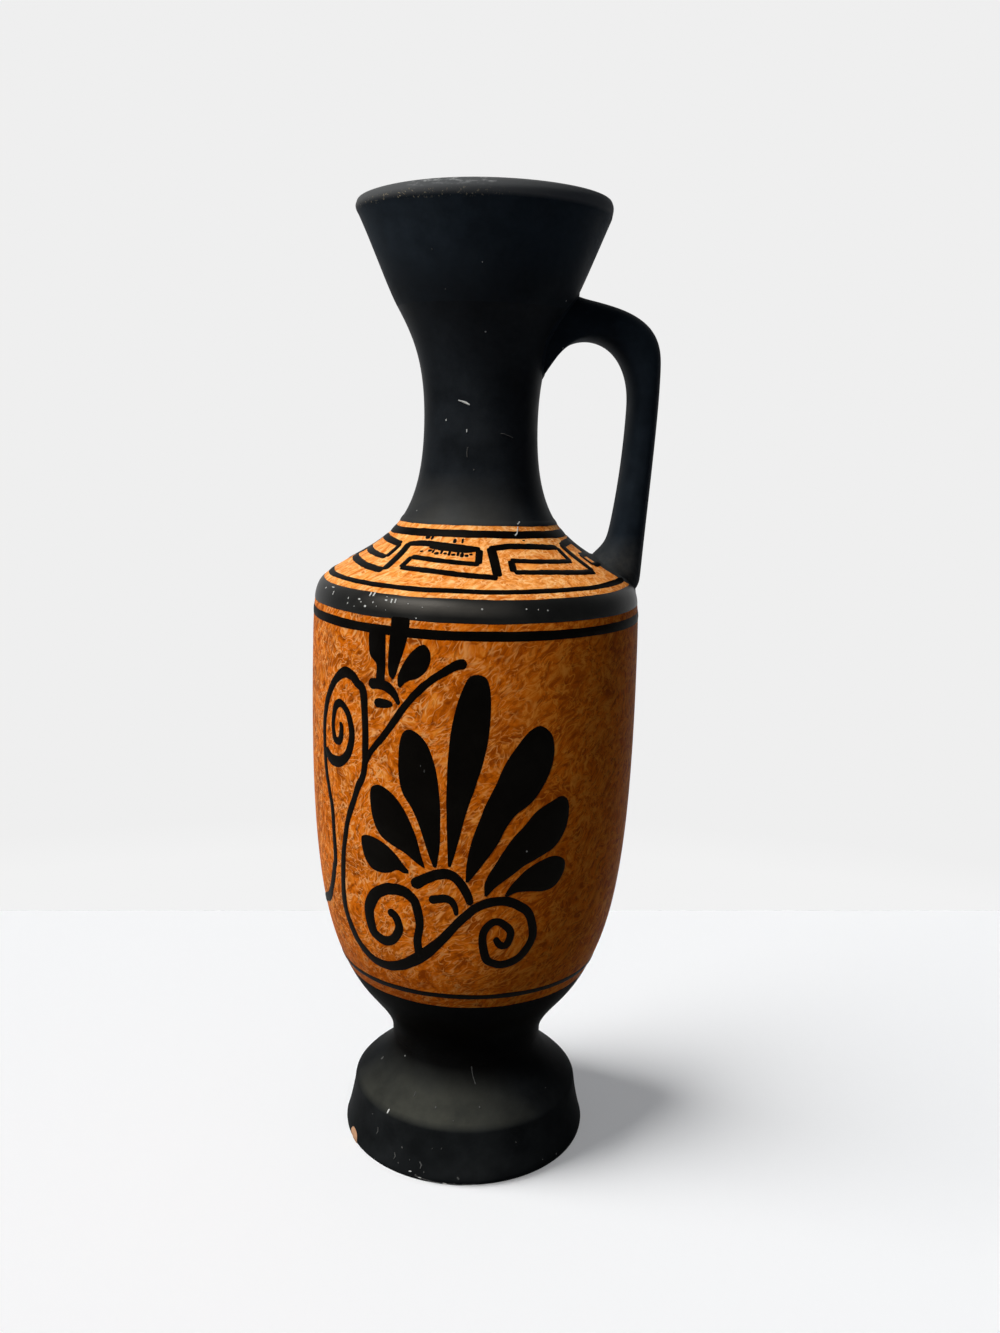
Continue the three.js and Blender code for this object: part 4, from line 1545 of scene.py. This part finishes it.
def set_floor(s):
    """A pale board that ends a little way behind the pitcher."""
    floor = fresh(bpy.ops.mesh.primitive_plane_add, "floor", size=2)
    turn = math.radians(FRONT + 90) + s.floor_turn
    behind = Vector((-math.sin(turn), math.cos(turn), 0))
    beside = Vector((math.cos(turn), math.sin(turn), 0))
    middle, half = (s.floor_back - s.floor_front) / 2, (s.floor_back + s.floor_front) / 2
    lay(floor, [
        beside * (x * s.floor_side) + behind * (middle + y * half) for x, y, _ in corners(floor)
    ])
    finish = bpy.data.materials.new("floor")
    finish.use_nodes = True
    n = Nodes(finish.node_tree)
    shader = n.tree.nodes["Principled BSDF"].inputs
    seen = seen_rays(n)
    for name, value in (
        ("Roughness", 0.9),
        ("Specular IOR Level", 0.0),
        ("Base Color", n.blended(seen, s.bounce, s.floor)),
        ("Emission Color", n.blended(seen, (0, 0, 0), s.floor_glow)),
        ("Emission Strength", 1.0),
    ):
        n.feed(shader[name], value)
    floor.data.materials.append(finish)
    return floor


def seen_rays(n):
    """1 for rays that show the stage itself, 0 for those that light the pitcher."""
    path = n.add("LightPath")
    shown = n.maths("MAXIMUM", path["Is Camera Ray"], path["Is Glossy Ray"])
    return n.maths("MAXIMUM", shown, path["Is Transmission Ray"])


def set_world(scene, s):
    """Dim light from all round, and behind the pitcher a pale backdrop where it is seen."""
    world = bpy.data.worlds.new("surroundings")
    world.use_nodes = True
    n = Nodes(world.node_tree)
    place = n.add("TexCoord")["Generated"]
    behind = n.ranged(n.towards(place, 0), *BACKDROP_SIDES)
    foot = n.ranged(n.height(place), *BACKDROP_LINE)
    backdrop = n.blended(foot, s.backdrop, s.backdrop_foot)
    light = n.blended(n.times(seen_rays(n), behind), s.fill, backdrop)
    n.feed(n.tree.nodes["Background"].inputs["Color"], light)
    scene.world = world


# The add-on

class PITCHER_PT_panel(bpy.types.Panel):
    """Pieces of the pitcher in the order in which they are made"""

    bl_idname = "PITCHER_PT_panel"
    bl_label = "Painted Pitcher"
    bl_space_type = "VIEW_3D"
    bl_region_type = "UI"
    bl_category = "Pitcher"

    def draw(self, context):
        for settings in SETTINGS:
            box = self.layout.box()
            group = getattr(context.scene, settings)
            for name in group.bl_rna.properties.keys():
                if name not in ("rna_type", "name"):
                    box.prop(group, name)
        for operator in OPERATORS:
            self.layout.operator(operator.bl_idname)


SETTINGS = {
    "pitcher_outline": PitcherOutline,
    "pitcher_handle": PitcherHandle,
    "pitcher_paint": PitcherPaint,
    "pitcher_stage": PitcherStage,
}
OPERATORS = [
    PITCHER_OT_foot,
    PITCHER_OT_body,
    PITCHER_OT_neck,
    PITCHER_OT_mouth,
    PITCHER_OT_handle,
    PITCHER_OT_bands,
    PITCHER_OT_keys,
    PITCHER_OT_palmette,
    PITCHER_OT_scrolls,
    PITCHER_OT_wear,
    PITCHER_OT_stage,
]


def register():
    for name, settings in SETTINGS.items():
        bpy.utils.register_class(settings)
        setattr(bpy.types.Scene, name, PointerProperty(type=settings))
    for made in [*OPERATORS, PITCHER_PT_panel]:
        bpy.utils.register_class(made)


def unregister():
    for made in [PITCHER_PT_panel, *reversed(OPERATORS)]:
        bpy.utils.unregister_class(made)
    for name, settings in SETTINGS.items():
        delattr(bpy.types.Scene, name)
        bpy.utils.unregister_class(settings)


def main():
    register()
    for operator in OPERATORS:
        area, name = operator.bl_idname.split(".")
        getattr(getattr(bpy.ops, area), name)()


if __name__ == "__main__":
    main()
